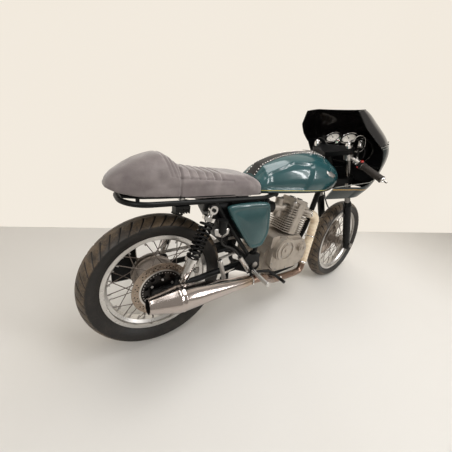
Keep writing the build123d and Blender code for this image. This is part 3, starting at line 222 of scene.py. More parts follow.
class Graph:
    """Material with one Principled shader and the nodes that feed it."""

    def __init__(self, name: str) -> None:
        self.material = bpy.data.materials.new(name)
        self.material.use_nodes = True
        self.tree = self.material.node_tree
        self.tree.nodes.clear()
        self.shader = self.add("ShaderNodeBsdfPrincipled")
        self.output = self.add("ShaderNodeOutputMaterial", {"Surface": self.shader.outputs[0]})
        self.coords = self.add("ShaderNodeTexCoord")

    def add(self, kind: str, inputs: dict | None = None, **settings: object) -> bpy.types.Node:
        """Adds a node, sets its attributes and then feeds its sockets.

        Args:
            kind: type of the node.
            inputs: value or link for each socket, by name or number.
            settings: attributes of the node.

        Returns:
            The node.
        """
        node = self.tree.nodes.new(kind)
        for key, value in settings.items():
            setattr(node, key, value)
        for key, value in (inputs or {}).items():
            self.feed(node.inputs[key], value)
        return node

    def feed(self, socket: bpy.types.NodeSocket, value: object) -> None:
        """Links or sets one input."""
        if isinstance(value, Sock):
            value = value.value
        if isinstance(value, bpy.types.NodeSocket):
            self.tree.links.new(value, socket)
        elif isinstance(value, (int, float)):
            socket.default_value = value
        else:
            socket.default_value = (*value, 1.0) if socket.type == "RGBA" else tuple(value)

    def vector(self, kind: str, a: object, b: object = (0.0, 0.0, 0.0), output: str = "Vector") -> Sock:
        """Output of a Vector Math node on a and b."""
        return Sock(self, self.add("ShaderNodeVectorMath", {0: a, 1: b}, operation=kind).outputs[output])

    def along(self, way: Point, start: Point = (0.0, 0.0, 0.0)) -> Sock:
        """Distance from start along a direction."""
        moved = self.vector("SUBTRACT", self.coords.outputs["Object"], start)
        return self.vector("DOT_PRODUCT", moved, way, output="Value")

    def around(self, centre: Point, axis: Point) -> Sock:
        """Distance from an axis through centre."""
        moved = self.vector("SUBTRACT", self.coords.outputs["Object"], centre)
        return self.vector("LENGTH", self.vector("CROSS_PRODUCT", moved, axis), output="Value")

    def noise(self, scale: float, detail: float = 3.0, stretch: Point = (1.0, 1.0, 1.0)) -> Sock:
        """Noise from 0 to 1; scale is per metre."""
        sized = self.vector("MULTIPLY", self.coords.outputs["Object"], stretch)
        inputs = {"Vector": sized, "Scale": scale, "Detail": detail}
        return Sock(self, self.add("ShaderNodeTexNoise", inputs).outputs["Fac"])

    def cells(self, scale: float) -> Sock:
        """Distance to the nearest point of a Voronoi pattern, 0 to 1."""
        inputs = {"Vector": self.coords.outputs["Object"], "Scale": scale}
        return Sock(self, self.add("ShaderNodeTexVoronoi", inputs).outputs["Distance"])

    def mix(self, factor: object, a: object, b: object) -> bpy.types.NodeSocket:
        """Colour between a and b."""
        return self.add("ShaderNodeMix", {"Factor": factor, 6: a, 7: b}, data_type="RGBA").outputs[2]

    def bump(self, height: Sock, distance: float) -> None:
        """Raises the surface by height times distance."""
        node = self.add("ShaderNodeBump", {"Strength": 1.0, "Distance": distance, "Height": height})
        self.feed(self.shader.inputs["Normal"], node.outputs[0])

    def set(self, **values: object) -> None:
        """Sets the shader's sockets; an underscore in a name stands for a space."""
        for key, value in values.items():
            self.feed(self.shader.inputs[key.replace("_", " ")], value)


@dataclass(frozen=True)
class Finish:
    """Look of one kind of surface.

    Attributes:
        base: main colour.
        soil: second colour, which the noise mixes in.
        grain: kind of surface.
        rough: mean roughness.
        soiling: how much of the second colour there is, 0 to 1.
        relief: height of the fine bump, in millimetres.
        scale: fineness of the noise, per metre.
        metal: metallic part.
        shine: specular level.
        coat: clear coat.
    """

    base: Colour
    soil: Colour
    grain: Grain
    rough: float
    soiling: float
    relief: float
    scale: float
    metal: float = 0.0
    shine: float = 0.5
    coat: float = 0.0


FINISHES = {
    "satin_black": Finish((0.006,) * 3, (0.03, 0.026, 0.022), Grain.PAINT, 0.40, 0.2, 0.03, 30, 0, 0.2),
    "gloss_black": Finish((0.005,) * 3, (0.015, 0.013, 0.012), Grain.PAINT, 0.24, 0.1, 0.01, 20, 0, 0.15),
    "cast_alloy": Finish((0.47, 0.42, 0.365), (0.24, 0.20, 0.165), Grain.CAST, 0.52, 0.5, 0.18, 260, 0.85),
    "hub_cast": Finish((0.30, 0.26, 0.225), (0.12, 0.085, 0.06), Grain.CAST, 0.5, 0.6, 0.2, 160, 0.8),
    "satin_alloy": Finish((0.62, 0.60, 0.575), (0.42, 0.38, 0.34), Grain.BRUSHED, 0.3, 0.3, 0.03, 90, 1),
    "chrome": Finish((0.74, 0.72, 0.70), (0.42, 0.38, 0.35), Grain.CHROME, 0.12, 0.15, 0.01, 30, 1),
    "steel": Finish((0.46, 0.44, 0.42), (0.22, 0.16, 0.12), Grain.BRUSHED, 0.32, 0.4, 0.04, 120, 1),
    "fork_steel": Finish((0.20, 0.19, 0.18), (0.10, 0.09, 0.08), Grain.CHROME, 0.2, 0.2, 0.01, 30, 1),
    "disc_brown": Finish((0.36, 0.30, 0.25), (0.16, 0.10, 0.07), Grain.BRUSHED, 0.36, 0.5, 0.04, 60, 0.95),
    "burnt_steel": Finish((0.27, 0.185, 0.14), (0.10, 0.065, 0.06), Grain.BRUSHED, 0.3, 0.6, 0.03, 24, 1),
    "rubber": Finish((0.018, 0.017, 0.016), (0.06, 0.05, 0.042), Grain.SOFT, 0.68, 0.35, 0.08, 120, 0, 0.3),
    "grip_rubber": Finish((0.03, 0.024, 0.02), (0.075, 0.055, 0.042), Grain.SOFT, 0.62, 0.4, 0.1, 90, 0, 0.3),
    "white_enamel": Finish((0.8, 0.76, 0.7), (0.62, 0.58, 0.52), Grain.PAINT, 0.35, 0.1, 0.01, 40, coat=0.3),
    "dial_black": Finish((0.02,) * 3, (0.03,) * 3, Grain.PAINT, 0.5, 0.1, 0.01, 40, 0, 0.2),
    "red_lens": Finish((0.42, 0.012, 0.01), (0.2, 0.005, 0.004), Grain.GLASS, 0.12, 0.1, 0.05, 60, coat=0.9),
    "green_lens": Finish((0.02, 0.32, 0.07), (0.01, 0.12, 0.03), Grain.GLASS, 0.15, 0.1, 0.05, 60, coat=0.9),
    "lamp_glass": Finish((0.72, 0.75, 0.76), (0.5, 0.52, 0.52), Grain.GLASS, 0.06, 0.1, 0.2, 40, coat=1),
    "screen": Finish((0.007, 0.006, 0.006), (0.02, 0.016, 0.014), Grain.PAINT, 0.12, 0.15, 0.01, 12, 0,
                     0.3, 0.3),
    "pale_piping": Finish((0.24, 0.235, 0.21), (0.14, 0.13, 0.115), Grain.SOFT, 0.45, 0.2, 0.02, 80),
    "red_paint": Finish((0.45, 0.02, 0.015), (0.25, 0.01, 0.01), Grain.PAINT, 0.3, 0.2, 0.01, 60, coat=0.4),
    "strap_leather": Finish((0.012, 0.01, 0.009), (0.004,) * 3, Grain.SOFT, 0.62, 0.6, 0.5, 240, coat=0.1),
    # near black, painted shade for the insides of bores and holes
    "dark_bore": Finish((0.01, 0.008, 0.007), (0.03, 0.02, 0.015), Grain.CAST, 0.9, 0.4, 0.1, 90, 0, 0.1),
}


class Paintbox:
    """Makes each material once and hands it out by name."""

    def __init__(self, bike: Bike) -> None:
        self.bike = bike
        self.made: dict[str, bpy.types.Material] = {}
        self.special: dict[str, Callable[[Graph], None]] = {
            "tank_green": self.tank_green, "cover_green": self.cover_green,
            "fairing_green": self.fairing_green, "rear_disc_metal": self.rear_disc_metal,
            "shock_metal": self.shock_metal, "pipe_wrap": self.pipe_wrap, "suede": self.suede,
            "silencer_chrome": self.silencer_chrome,
            "front_hub_metal": partial(self.hub_metal, "front", 0.047),
            "rear_hub_metal": partial(self.hub_metal, "rear", 0.101),
            "front_tyre_rubber": partial(self.tyre_rubber, "front"),
            "rear_tyre_rubber": partial(self.tyre_rubber, "rear")}

    def get(self, name: str) -> bpy.types.Material:
        """Material by name, made on first use: one with a method of its own, or a finish."""
        if name not in self.made:
            graph = Graph(name)
            if name in self.special:
                self.special[name](graph)
            else:
                self.dress(graph, FINISHES[name])
            self.made[name] = graph.material
        return self.made[name]

    def dress(self, graph: Graph, finish: Finish, base: object = None) -> None:
        """Feeds a graph's shader from a finish; base replaces the main colour."""
        broad = graph.noise(finish.scale * 0.12, 4.0)
        fine = graph.noise(finish.scale, 3.0)
        soil = (broad * 0.7 + fine * 0.3).step(0.62 - 0.3 * finish.soiling, 0.78)
        colour = graph.mix(soil * finish.soiling, base if base is not None else finish.base, finish.soil)
        graph.set(Base_Color=colour, Metallic=finish.metal, Coat_Weight=finish.coat,
                  Specular_IOR_Level=finish.shine)
        spread = {Grain.CHROME: 0.06, Grain.PAINT: 0.08, Grain.GLASS: 0.04}.get(finish.grain, 0.16)
        graph.set(Roughness=(fine * 0.5 + broad * 0.5 - 0.5) * spread * 2 + finish.rough)
        if finish.coat:
            graph.set(Coat_Roughness=0.05)
        if finish.grain is Grain.GLASS:
            graph.set(Transmission_Weight=0.35, IOR=1.5)
        if finish.grain is Grain.BRUSHED:
            fine = graph.noise(finish.scale * 6, 2.0, (1.0, 0.08, 1.0))
        if finish.grain is Grain.CAST:
            fine = fine * 0.5 + graph.cells(finish.scale * 1.5) * 0.5
        graph.bump(fine, finish.relief / 1000)

    def rise(self, graph: Graph) -> Sock:
        """Height over the ground line of the upright machine."""
        return graph.along(self.bike.up, self.bike.origin)

    def stripe(self, graph: Graph, height: float, half: float) -> Sock:
        """1 inside a line at one height."""
        return (self.rise(graph) - height).abs().step(half + 0.0004, half)

    def wheel(self, end: str) -> tuple[np.ndarray, np.ndarray]:
        """Centre and axis of the front or rear wheel."""
        if end == "front":
            return self.bike.front_axle, self.bike.fork_left
        return self.bike.at((0.0, 0.0, REAR_R)), self.bike.left

    def tank_green(self, graph: Graph) -> None:
        """Deep blue-green gloss with a gold line along the tank's lower edge."""
        flake = graph.noise(900.0, 1.0).step(0.45, 0.8)
        paint = graph.mix(graph.noise(5.0).step(0.35, 0.7), (0.018, 0.062, 0.068), (0.030, 0.084, 0.090))
        paint = graph.mix(flake * 0.25, paint, (0.03, 0.13, 0.14))
        line = self.stripe(graph, TANK_BASE + 0.012, 0.0017)
        graph.set(Base_Color=graph.mix(line, paint, (0.55, 0.47, 0.10)), Coat_Weight=0.45,
                  Coat_Roughness=0.03, Specular_IOR_Level=0.35,
                  Roughness=graph.noise(30.0, 2.0) * 0.06 + 0.16)
        graph.bump(graph.noise(60.0, 2.0), 0.00002)

    def cover_green(self, graph: Graph) -> None:
        """The same green on the side covers, a little duller and without the line."""
        paint = graph.mix(graph.noise(7.0).step(0.3, 0.75), (0.017, 0.058, 0.062), (0.030, 0.084, 0.088))
        graph.set(Base_Color=paint, Coat_Weight=0.4, Coat_Roughness=0.06, Specular_IOR_Level=0.35,
                  Roughness=graph.noise(12.0) * 0.08 + 0.22)
        graph.bump(graph.noise(9.0, 2.0), 0.0004)

    def fairing_green(self, graph: Graph) -> None:
        """Dark green outside with a gold line round the lower lobe, satin black inside."""
        out = graph.vector("SUBTRACT", graph.coords.outputs["Object"], self.bike.at((1.14, 0.0, 0.92)))
        out = graph.vector("DOT_PRODUCT", graph.coords.outputs["Normal"], out, output="Value")
        inside = out.step(0.004, -0.004)
        paint = graph.mix(graph.noise(5.0).step(0.35, 0.7), (0.003, 0.010, 0.011), (0.006, 0.017, 0.019))
        paint = graph.mix(self.stripe(graph, 0.773, 0.0016), paint, (0.68, 0.40, 0.10))
        graph.set(Base_Color=graph.mix(inside, paint, (0.008, 0.008, 0.009)),
                  Roughness=inside * 0.4 + graph.noise(30.0, 2.0) * 0.06 + 0.15,
                  Coat_Weight=inside * -0.1 + 0.1, Coat_Roughness=0.05, Specular_IOR_Level=0.18)
        graph.bump(graph.noise(60.0, 2.0), 0.00003)

    def tyre_rubber(self, end: str, graph: Graph) -> None:
        """Black side wall, and a tread browned with dust, with painted shade darkening the bottoms of its
        cuts.
        """
        centre, axis = self.wheel(end)
        outer, crown, half, _ = TYRES[end]
        reach, aside = graph.around(centre, axis), graph.along(axis, centre)
        sunk = (aside * aside * -1.0 + crown * crown).most(1e-6) ** 0.5 + (outer - crown) - reach
        band = sunk.step(0.0125, 0.0075) * aside.abs().step(half + 0.0012, half - 0.0035)
        dust = graph.noise(19.0, 6.0) * 0.65 + graph.noise(130.0) * 0.35
        tread = graph.mix(dust.step(0.35, 0.7), (0.034, 0.027, 0.021), (0.155, 0.108, 0.066))
        # painted shade: the bottoms of the cuts go near black, darker than the rubber itself
        tread = graph.mix(sunk.step(0.0034, 0.0010), (0.006, 0.005, 0.005), tread)
        wall = graph.mix(dust.step(0.4, 0.75), (0.009, 0.0075, 0.0065), (0.030, 0.024, 0.019))
        graph.set(Base_Color=graph.mix(band, wall, tread), Roughness=dust * 0.30 + 0.34,
                  Specular_IOR_Level=0.4)
        rings = (reach * 900.0).sin() * reach.step(outer - 0.050, outer - 0.062) * 0.25
        graph.bump(graph.noise(420.0) * 0.5 + rings, 0.00045)

    def hub_metal(self, end: str, spoke_from: float, graph: Graph) -> None:
        """Cast hub inside, dark steel spokes outside the flange."""
        spoke = graph.around(*self.wheel(end)).step(spoke_from, spoke_from + 0.002)
        finish = FINISHES["hub_cast"]
        self.dress(graph, finish, graph.mix(spoke, finish.base, (0.20, 0.17, 0.15)))

    def rear_disc_metal(self, graph: Graph) -> None:
        """Brown swept band, pale ring inside it and a black carrier."""
        reach = graph.around(*self.wheel("rear"))
        base = graph.mix(reach.step(0.1005, 0.0995), (0.36, 0.29, 0.23), (0.60, 0.57, 0.53))
        base = graph.mix(reach.step(0.093, 0.092), base, (0.03, 0.028, 0.027))
        self.dress(graph, FINISHES["disc_brown"], base)

    def shock_metal(self, graph: Graph) -> None:
        """Polished eyes and lower body, with painted shade: the rod and seats within the spring are painted
        black.
        """
        rise = self.rise(graph)
        # painted shade: black over the height that the spring covers
        dark = rise.step(0.508, 0.514) * rise.step(0.650, 0.644)
        finish = FINISHES["chrome"]
        self.dress(graph, finish, graph.mix(dark, finish.base, (0.012, 0.012, 0.012)))

    def pipe_wrap(self, graph: Graph) -> None:
        """Cream woven heat tape, scorched a little."""
        tape = graph.mix(graph.noise(18.0, 4.0).step(0.35, 0.75), (0.92, 0.78, 0.58), (0.66, 0.50, 0.34))
        weave = (graph.along((0.6, 0.4, 0.7)) * 2600.0).sin() * (graph.along((-0.5, 0.7, 0.5)) * 2600.0).sin()
        graph.set(Base_Color=tape, Roughness=weave * 0.05 + 0.85, Sheen_Weight=0.3)
        graph.bump(weave * 0.5 + graph.noise(300.0) * 0.5, 0.0006)

    def suede(self, graph: Graph) -> None:
        """Mauve-grey suede with a soft nap, paler the higher it stands, in patches that follow the nap."""
        nap, fibre = graph.noise(14.0, 5.0), graph.noise(700.0, 4.0)
        cloth = graph.mix(nap.step(0.32, 0.7), (0.158, 0.133, 0.130), (0.248, 0.216, 0.208))
        # paler towards the top: a mask by height over the ground line, broken up by the nap
        paler_higher = self.rise(graph).step(SEAT_BASE + 0.040, SEAT_BASE + 0.120) * nap.step(0.45, 0.7)
        cloth = graph.mix(paler_higher * 0.45, cloth, (0.300, 0.268, 0.262))
        graph.set(Base_Color=graph.mix(fibre * 0.3, cloth, (0.105, 0.086, 0.088)),
                  Roughness=nap * 0.1 + 0.86, Sheen_Weight=0.55, Sheen_Roughness=0.4)
        graph.bump(fibre * 0.6 + graph.noise(160.0) * 0.4, 0.0007)

    def silencer_chrome(self, graph: Graph) -> None:
        """Polished steel, straw and brown with heat towards its front."""
        heat = graph.along((1.0, 0.0, 0.0), self.bike.at((0.30, 0.0, 0.0))).step(-0.02, 0.10)
        self.dress(graph, FINISHES["chrome"], graph.mix(heat, (0.50, 0.44, 0.41), (0.40, 0.30, 0.22)))
        graph.set(Roughness=graph.noise(24.0) * 0.10 + 0.12)


# frame nodes that keep their shape, by finish
NODES = {
    "satin_black": "frame_spine frame_downtube frame_cradle swingarm air_filter seat_pan electrics_box"
                   " rectifier headlamp fairing_stay foot_controls brake_reservoir plate_bracket top_yoke"
                   " lower_yoke",
    "gloss_black": "shock_springs fork_sliders gauges",
    "steel": "swingarm_pin rear_axle front_axle rear_axle_spacers front_axle_spacers bar_controls"
             " rear_sprocket",
    "cast_alloy": "crankcase clutch_cover generator_cover cylinder cylinder_head carburettor rear_caliper"
                  " front_caliper",
    "satin_alloy": "rear_master_cylinder clip_ons front_rim rear_rim", "chrome": "filler_cap side_stand",
    "rubber": "front_brake_hose rear_brake_hose", "shock_metal": "shocks", "burnt_steel": "link_pipe",
    # the frame's silencer shows only through the open end of its skin, painted near black as painted shade in
    # the bore
    "dark_bore": "silencer", "tank_green": "fuel_tank", "cover_green": "side_covers",
    "fairing_green": "fairing_shell", "screen": "windscreen", "red_lens": "tail_lamp",
    "fork_steel": "fork_stanchions", "grip_rubber": "grips", "front_hub_metal": "front_hub",
    "rear_hub_metal": "rear_hub", "disc_brown": "front_disc", "rear_disc_metal": "rear_disc",
}


# ------------------------------------------------------------------ meshes
def grid(points: np.ndarray, round_u: bool = False, round_v: bool = True) -> Mesh:
    """Quads over a grid of points.

    Args:
        points: array of shape (n, m, 3).
        round_u: the last row joins the first.
        round_v: the last column joins the first.

    Returns:
        Points of shape (n * m, 3) and quads of shape (k, 4).
    """
    n, m = points.shape[:2]
    i = np.arange(n if round_u else n - 1)[:, None]
    j = np.arange(m if round_v else m - 1)[None, :]
    i2, j2 = (i + 1) % n, (j + 1) % m
    quads = np.stack([i * m + j, i2 * m + j, i2 * m + j2, i * m + j2], axis=-1)
    return points.reshape(-1, 3), quads.reshape(-1, 4)


def square_to(axis: np.ndarray) -> np.ndarray:
    """A direction square to an axis."""
    return np.cross(axis, (0.0, 0.0, 1.0) if abs(axis[2]) < 0.9 else (1.0, 0.0, 0.0))


def tube(path: np.ndarray, radius: float, sides: int = 8) -> Mesh:
    """Closed round tube along a path, p + r (n cos a + b sin a) with a frame carried along it.

    Args:
        path: points of shape (n, 3).
        radius: radius in millimetres.
        sides: corners of the section.

    Returns:
        Points and quads.
    """
    path = np.concatenate([path[:1], path, path[-1:]])
    radii = np.full(len(path), radius / 1000)
    radii[[0, -1]] = 0.0
    tangents = np.gradient(path, axis=0)
    tangents[0], tangents[-1] = tangents[1], tangents[-2]
    tangents /= np.linalg.norm(tangents, axis=1)[:, None]
    normal = square_to(tangents[0])
    a = circle(sides)[:, None]
    rings = []
    for point, tangent, r in zip(path, tangents, radii):
        normal = unit(normal - tangent * (normal @ tangent))
        rings.append(point + r * (np.cos(a) * normal + np.sin(a) * np.cross(tangent, normal)))
    return grid(np.array(rings))


def lathe(centre: Point, axis: Point, rows: Sequence[Point], sides: int = 48) -> Mesh:
    """Surface of revolution, c + a t + r (u cos w + v sin w).

    Args:
        centre: point on the axis.
        axis: direction of the axis.
        rows: (distance along the axis, radius) pairs in millimetres.
        sides: corners of each ring.

    Returns:
        Points and quads.
    """
    axis = unit(axis)
    u = unit(square_to(axis))
    v = np.cross(axis, u)
    w = circle(sides)[None, :, None]
    t, r = np.array(rows, dtype=float).T[:, :, None, None] / 1000
    return grid(vec(centre) + axis * t + r * (u * np.cos(w) + v * np.sin(w)))


def bolt(centre: Point, axis: Point, radius: float, height: float) -> Mesh:
    """Socket cap screw, in millimetres: round head with a chamfer and a socket sunk in its top."""
    rows = [(-1, radius), (height * 0.8, radius), (height, radius * 0.86), (height, radius * 0.5),
            (height * 0.45, radius * 0.5), (height * 0.45, 0)]
    return lathe(centre, axis, rows, 12)


def join(parts: Iterable[Mesh]) -> Mesh:
    """Several meshes of quads as one."""
    points, faces, base = [], [], 0
    for p, f in parts:
        points.append(p)
        faces.append(f + base)
        base += len(p)
    return np.concatenate(points), np.concatenate(faces)


def smooth_line(points: Sequence[Point], steps: int = 8) -> np.ndarray:
    """Catmull-Rom line through the points."""
    p = np.array(points, dtype=float)
    p = np.concatenate([2 * p[:1] - p[1:2], p, 2 * p[-1:] - p[-2:-1]])
    t = np.linspace(0, 1, steps, endpoint=False)[:, None]
    spans = [0.5 * (2 * b + (c - a) * t + (2 * a - 5 * b + 4 * c - d) * t ** 2
                    + (3 * b - a - 3 * c + d) * t ** 3) for a, b, c, d in zip(p, p[1:], p[2:], p[3:])]
    return np.concatenate([*spans, p[-2:-1]])


def slab(outline: Sequence[Point], rows: Sequence[Point]) -> np.ndarray:
    """Rows of rings of a plate that is parallel to the middle plane, all in millimetres.

    Each pass puts two points on every side, at u and 1 - u of it.  A ring is the outline drawn towards
    its middle m, m + k (p - m).

    Args:
        outline: corners (x, z).
        rows: (k, y) pairs from one face to the other.

    Returns:
        Array of shape (rows, points, 3), in metres.
    """
    ring = np.array(outline, dtype=float)
    for u in (0.1, 0.25, 0.25):
        ahead = np.roll(ring, -1, axis=0)
        ring = np.stack([ring * (1 - u) + ahead * u, ring * u + ahead * (1 - u)], axis=1).reshape(-1, 2)
    middle = ring.mean(axis=0)
    flat = [(middle + (ring - middle) * k, y) for k, y in rows]
    return np.array([np.stack([f[:, 0], np.full(len(f), y), f[:, 1]], axis=1) for f, y in flat]) / 1000


class Workshop:
    """Makes Blender objects for the machine and hangs each on its body."""

    def __init__(self, frame: dict) -> None:
        self.nodes = frame["nodes"]
        self.bike = Bike.from_frame(frame)
        self.paint = Paintbox(self.bike)

    def piece(self, name: str, mesh: Mesh, finish: str, body: Body, slot: str,
              replaces: Sequence[str] = (), smooth: bool = True) -> bpy.types.Object:
        """Adds one piece at the origin, with its place in its mesh.

        Args:
            name: object name.
            mesh: points and quads.
            finish: material name.
            body: body that it rides on.
            slot: not used.
            replaces: frame nodes that it stands for.
            smooth: shade smooth.

        Returns:
            The new object.
        """
        points, faces = mesh
        data = bpy.data.meshes.new(name)
        data.vertices.add(len(points))
        data.vertices.foreach_set("co", np.ascontiguousarray(points, dtype=np.float32).ravel())
        data.loops.add(faces.size)
        data.loops.foreach_set("vertex_index", np.ascontiguousarray(faces, dtype=np.int32).ravel())
        data.polygons.add(len(faces))
        data.polygons.foreach_set("loop_start", np.arange(0, faces.size, faces.shape[1], dtype=np.int32))
        data.polygons.foreach_set("use_smooth", np.full(len(faces), smooth))
        data.update(calc_edges=True)
        weld = bmesh.new()
        weld.from_mesh(data)
        bmesh.ops.dissolve_degenerate(weld, dist=1e-7, edges=weld.edges)
        weld.to_mesh(data)
        weld.free()
        data.validate()
        return self.adopt(name, data, finish, body, slot, replaces)

    def adopt(self, name: str, data: bpy.types.Mesh, finish: str, body: Body, slot: str,
              replaces: Sequence[str] = ()) -> bpy.types.Object:
        """Makes an object of a mesh and gives it its material and body."""
        obj = bpy.data.objects.new(name, data)
        bpy.context.scene.collection.objects.link(obj)
        data.materials.clear()
        data.materials.append(self.paint.get(finish))
        if replaces:
            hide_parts(*replaces)
        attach(obj, body.value)
        LOG.info("%s: %s on %s", obj.name, finish, body.value)
        return obj

    def paint_nodes(self) -> None:
        """Gives every frame node that stays its finish."""
        finish_of = {node: finish for finish, names in NODES.items() for node in names.split()}
        for name, obj in self.nodes.items():
            if name in finish_of:
                obj.data.materials.clear()
                obj.data.materials.append(self.paint.get(finish_of[name]))

    def surface(self, node: str) -> BVHTree:
        """Search tree of a frame node's faces."""
        obj = self.nodes[node]
        return BVHTree.FromPolygons([obj.matrix_world @ v.co for v in obj.data.vertices],
                                    [tuple(p.vertices) for p in obj.data.polygons])


def meet(trees: Iterable[BVHTree], start: np.ndarray, way: np.ndarray) -> np.ndarray | None:
    """Nearest point that a ray meets on any of the surfaces."""
    found = [tree.ray_cast(Vector(start), Vector(way)) for tree in trees]
    found = [f for f in found if f[0] is not None]
    return np.array(min(found, key=lambda f: f[3])[0]) if found else None


@dataclass
class Maker:
    """Maker of one group of pieces, all on one body."""

    shop: Workshop
    body = Body.CHASSIS

    @property
    def bike(self) -> Bike:
        """Axes of the machine."""
        return self.shop.bike

    def add(self, name: str, mesh: Mesh, finish: str, slot: str, replaces: Sequence[str] = (),
            smooth: bool = True) -> bpy.types.Object:
        """Adds one piece on this maker's body; the arguments are those of Workshop.piece."""
        return self.shop.piece(name, mesh, finish, self.body, slot, replaces, smooth)

    def skin(self, name: str, points: np.ndarray, finish: str, slot: str, replaces: Sequence[str] = (),
             closed: bool = True) -> None:
        """Adds the quads over a grid of points of the upright machine; closed joins its columns."""
        self.add(name, grid(self.bike.at(points), False, closed), finish, slot, replaces)

    def turn(self, name: str, centre: Point, axis: Point, rows: Sequence[Point], finish: str, slot: str,
             sides: int = 48) -> None:
        """Adds a surface of revolution; the arguments are those of lathe and of add."""
        self.add(name, lathe(centre, axis, rows, sides), finish, slot)


# ------------------------------------------------------------------ wheels
@dataclass
class Wheel(Maker):
    """What stands on one wheel; end is front or rear."""

    end: str

    @property
    def body(self) -> Body:
        """The wheel's own body."""
        return Body(f"{self.end}_wheel")

    def place(self, p: Point) -> np.ndarray:
        """Point given from the wheel's centre."""
        if self.end == "front":
            return self.bike.steered(np.asarray(p) + (WHEELBASE, 0.0, FRONT_R))
        return self.bike.at(np.asarray(p) + (0.0, 0.0, REAR_R))

    def polar(self, angle: float, radius: float, y: float) -> np.ndarray:
        """Point at an angle round the axle."""
        return self.place((radius * math.sin(angle), y, radius * math.cos(angle)))


@dataclass
class Tyre(Wheel):
    """Tyre with a tread of slanting cuts."""

    bead: float = 0.229
    cuts: int = 44
    cut_depth: float = 0.0050
    cut_width: float = 0.0072
    sweep: float = 0.55
    rings: int = 880

    def section(self) -> np.ndarray:
        """Half section as (angle of the tread or WALL, y, r) rows, from the middle outwards."""
        radius, crown, half, rim_half = TYRES[self.end]
        a = np.linspace(0, math.asin(half / crown), 34)
        tread = np.stack([a, crown * np.sin(a), radius - crown * (1 - np.cos(a))], axis=1)
        start, end = tread[-1, 1:], np.array((rim_half, self.bead + 0.0145))
        t = np.linspace(0, 1, 12)[1:, None]
        push = np.array((half * 1.03, start[1] - (start[1] - end[1]) * 0.42))
        wall = (1 - t) ** 2 * start + 2 * t * (1 - t) * push + t ** 2 * end
        wall = np.concatenate([np.full((len(wall), 1), WALL), wall], axis=1)
        return np.concatenate([tread, wall, [(WALL, rim_half - 0.001, self.bead + 0.004)]])

    def build(self) -> None:
        """Adds the tyre: r(a, s) less the depth of a cut where its slanting line passes."""
        radius, crown, half_width, _ = TYRES[self.end]
        half = self.section()
        across, y, r = np.concatenate([half[:0:-1], half * (1.0, -1.0, 1.0)]).T[:, None, :]
        side = np.where(np.arange(y.size) < len(half) - 1, 1.0, -1.0)
        turn = circle(self.rings)[:, None]
        pitch = 2 * math.pi / self.cuts
        share = np.clip(across, 0, 2) / math.asin(half_width / crown)
        lean = self.sweep * (0.32 * share ** 1.6 - 0.07 * share)
        phase = (turn + side * 0.25 * pitch + lean) / pitch
        near = np.abs(phase - np.floor(phase) - 0.5) * pitch * radius
        depth = np.clip(1.5 - near / (self.cut_width / 2), 0, 1) * (share > 0.16) * (share < 1.02)
        middle = np.clip(1.5 - np.abs(across) * crown / 0.0016, 0, 1) * (across < WALL) * 0.6
        depth = np.maximum(depth, middle) * self.cut_depth
        r = r - depth * np.cos(np.clip(across, 0, 1.2))
        wheel = np.stack([r * np.sin(turn), np.broadcast_to(y, r.shape), r * np.cos(turn)], axis=-1)
        node = f"{self.end}_tyre"
        mesh = grid(self.place(wheel), True, False)
        self.add(f"{node}_tread", mesh, f"{node}_rubber", "tyre_rubber", [node])


@dataclass
class WheelTrim(Wheel):
    """Nipples, valve, bolts and hub rings of one wheel."""

    spokes: int = 36
    well: float = 0.213

    def build(self) -> None:
        """Adds the trim."""
        front = self.end == "front"
        nipples = []
        for i, angle in enumerate(circle(self.spokes) + math.pi / self.spokes):
            side = 1 if i % 2 else -1
            top = self.polar(angle, self.well - 0.0004, side * 0.006)
            foot = self.polar(angle, self.well - 0.016, side * 0.0078)
            nipples.append(lathe(foot, top - foot, [(0, 2.4), (4, 3.4), (15.2, 3.4)], 8))
        self.add(f"{self.end}_spoke_nipples", join(nipples), "steel", "hub_alloy")
        root = self.polar(0.26, self.well + 0.001, 0.0)
        rows = [(0, 5), (12, 3.5), (22, 3.5), (22, 4.5), (30, 4.5), (30, 0)]
        inward = self.polar(0.26, self.well - 0.030, 0.0) - root
        self.turn(f"{self.end}_valve", root, inward, rows, "rubber", "tyre_rubber", 12)
        y, r = (0.0665, 0.095) if front else (-0.0785, 0.052)
        out = self.bike.fork_left if front else -self.bike.left
        bolts = [bolt(self.polar(angle, r, y), out, 5.8, 6) for angle in circle(6)]
        self.add(f"{self.end}_disc_bolts", join(bolts), "steel", "hub_alloy")
        if not front:
            self.drillings()
            rows = [(x + dx, r) for x in -30 + 11.5 * np.arange(6)
                    for dx, r in ((0, 88), (2, 93.5), (5, 93.5), (7, 88))]
            centre = self.place((0.0, 0.0, 0.0))
            self.turn("rear_hub_rings", centre, self.bike.left, rows, "hub_cast", "hub_alloy", 72)

    def drillings(self) -> None:
        """Dark bores in the swept band, black discs painted as the shade in the holes, and pale ones in the
        carrier, on rings about the axle.
        """
        tree, left = self.shop.surface("rear_disc"), self.bike.left
        # the band's bores are dark_bore discs: painted shade standing in for the holes
        for name, finish, bore, rings in (("band", "dark_bore", 3.0, ((0.1075, 36, 0.0), (0.1170, 36, 0.5))),
                                          ("carrier", "steel", 2.6, ((0.0840, 40, 0.0),))):
            bores = []
            for radius, count, shift in rings:
                for angle in circle(count) + 2 * math.pi * shift / count:
                    at = meet([tree], self.polar(angle, radius, -0.16), left)
                    if at is not None:
                        bores.append(lathe(at, -left, [(0, bore), (0.3, bore * 0.9), (0.3, 0)], 10))
            self.add(f"rear_disc_{name}_bores", join(bores), finish, "disc_steel")


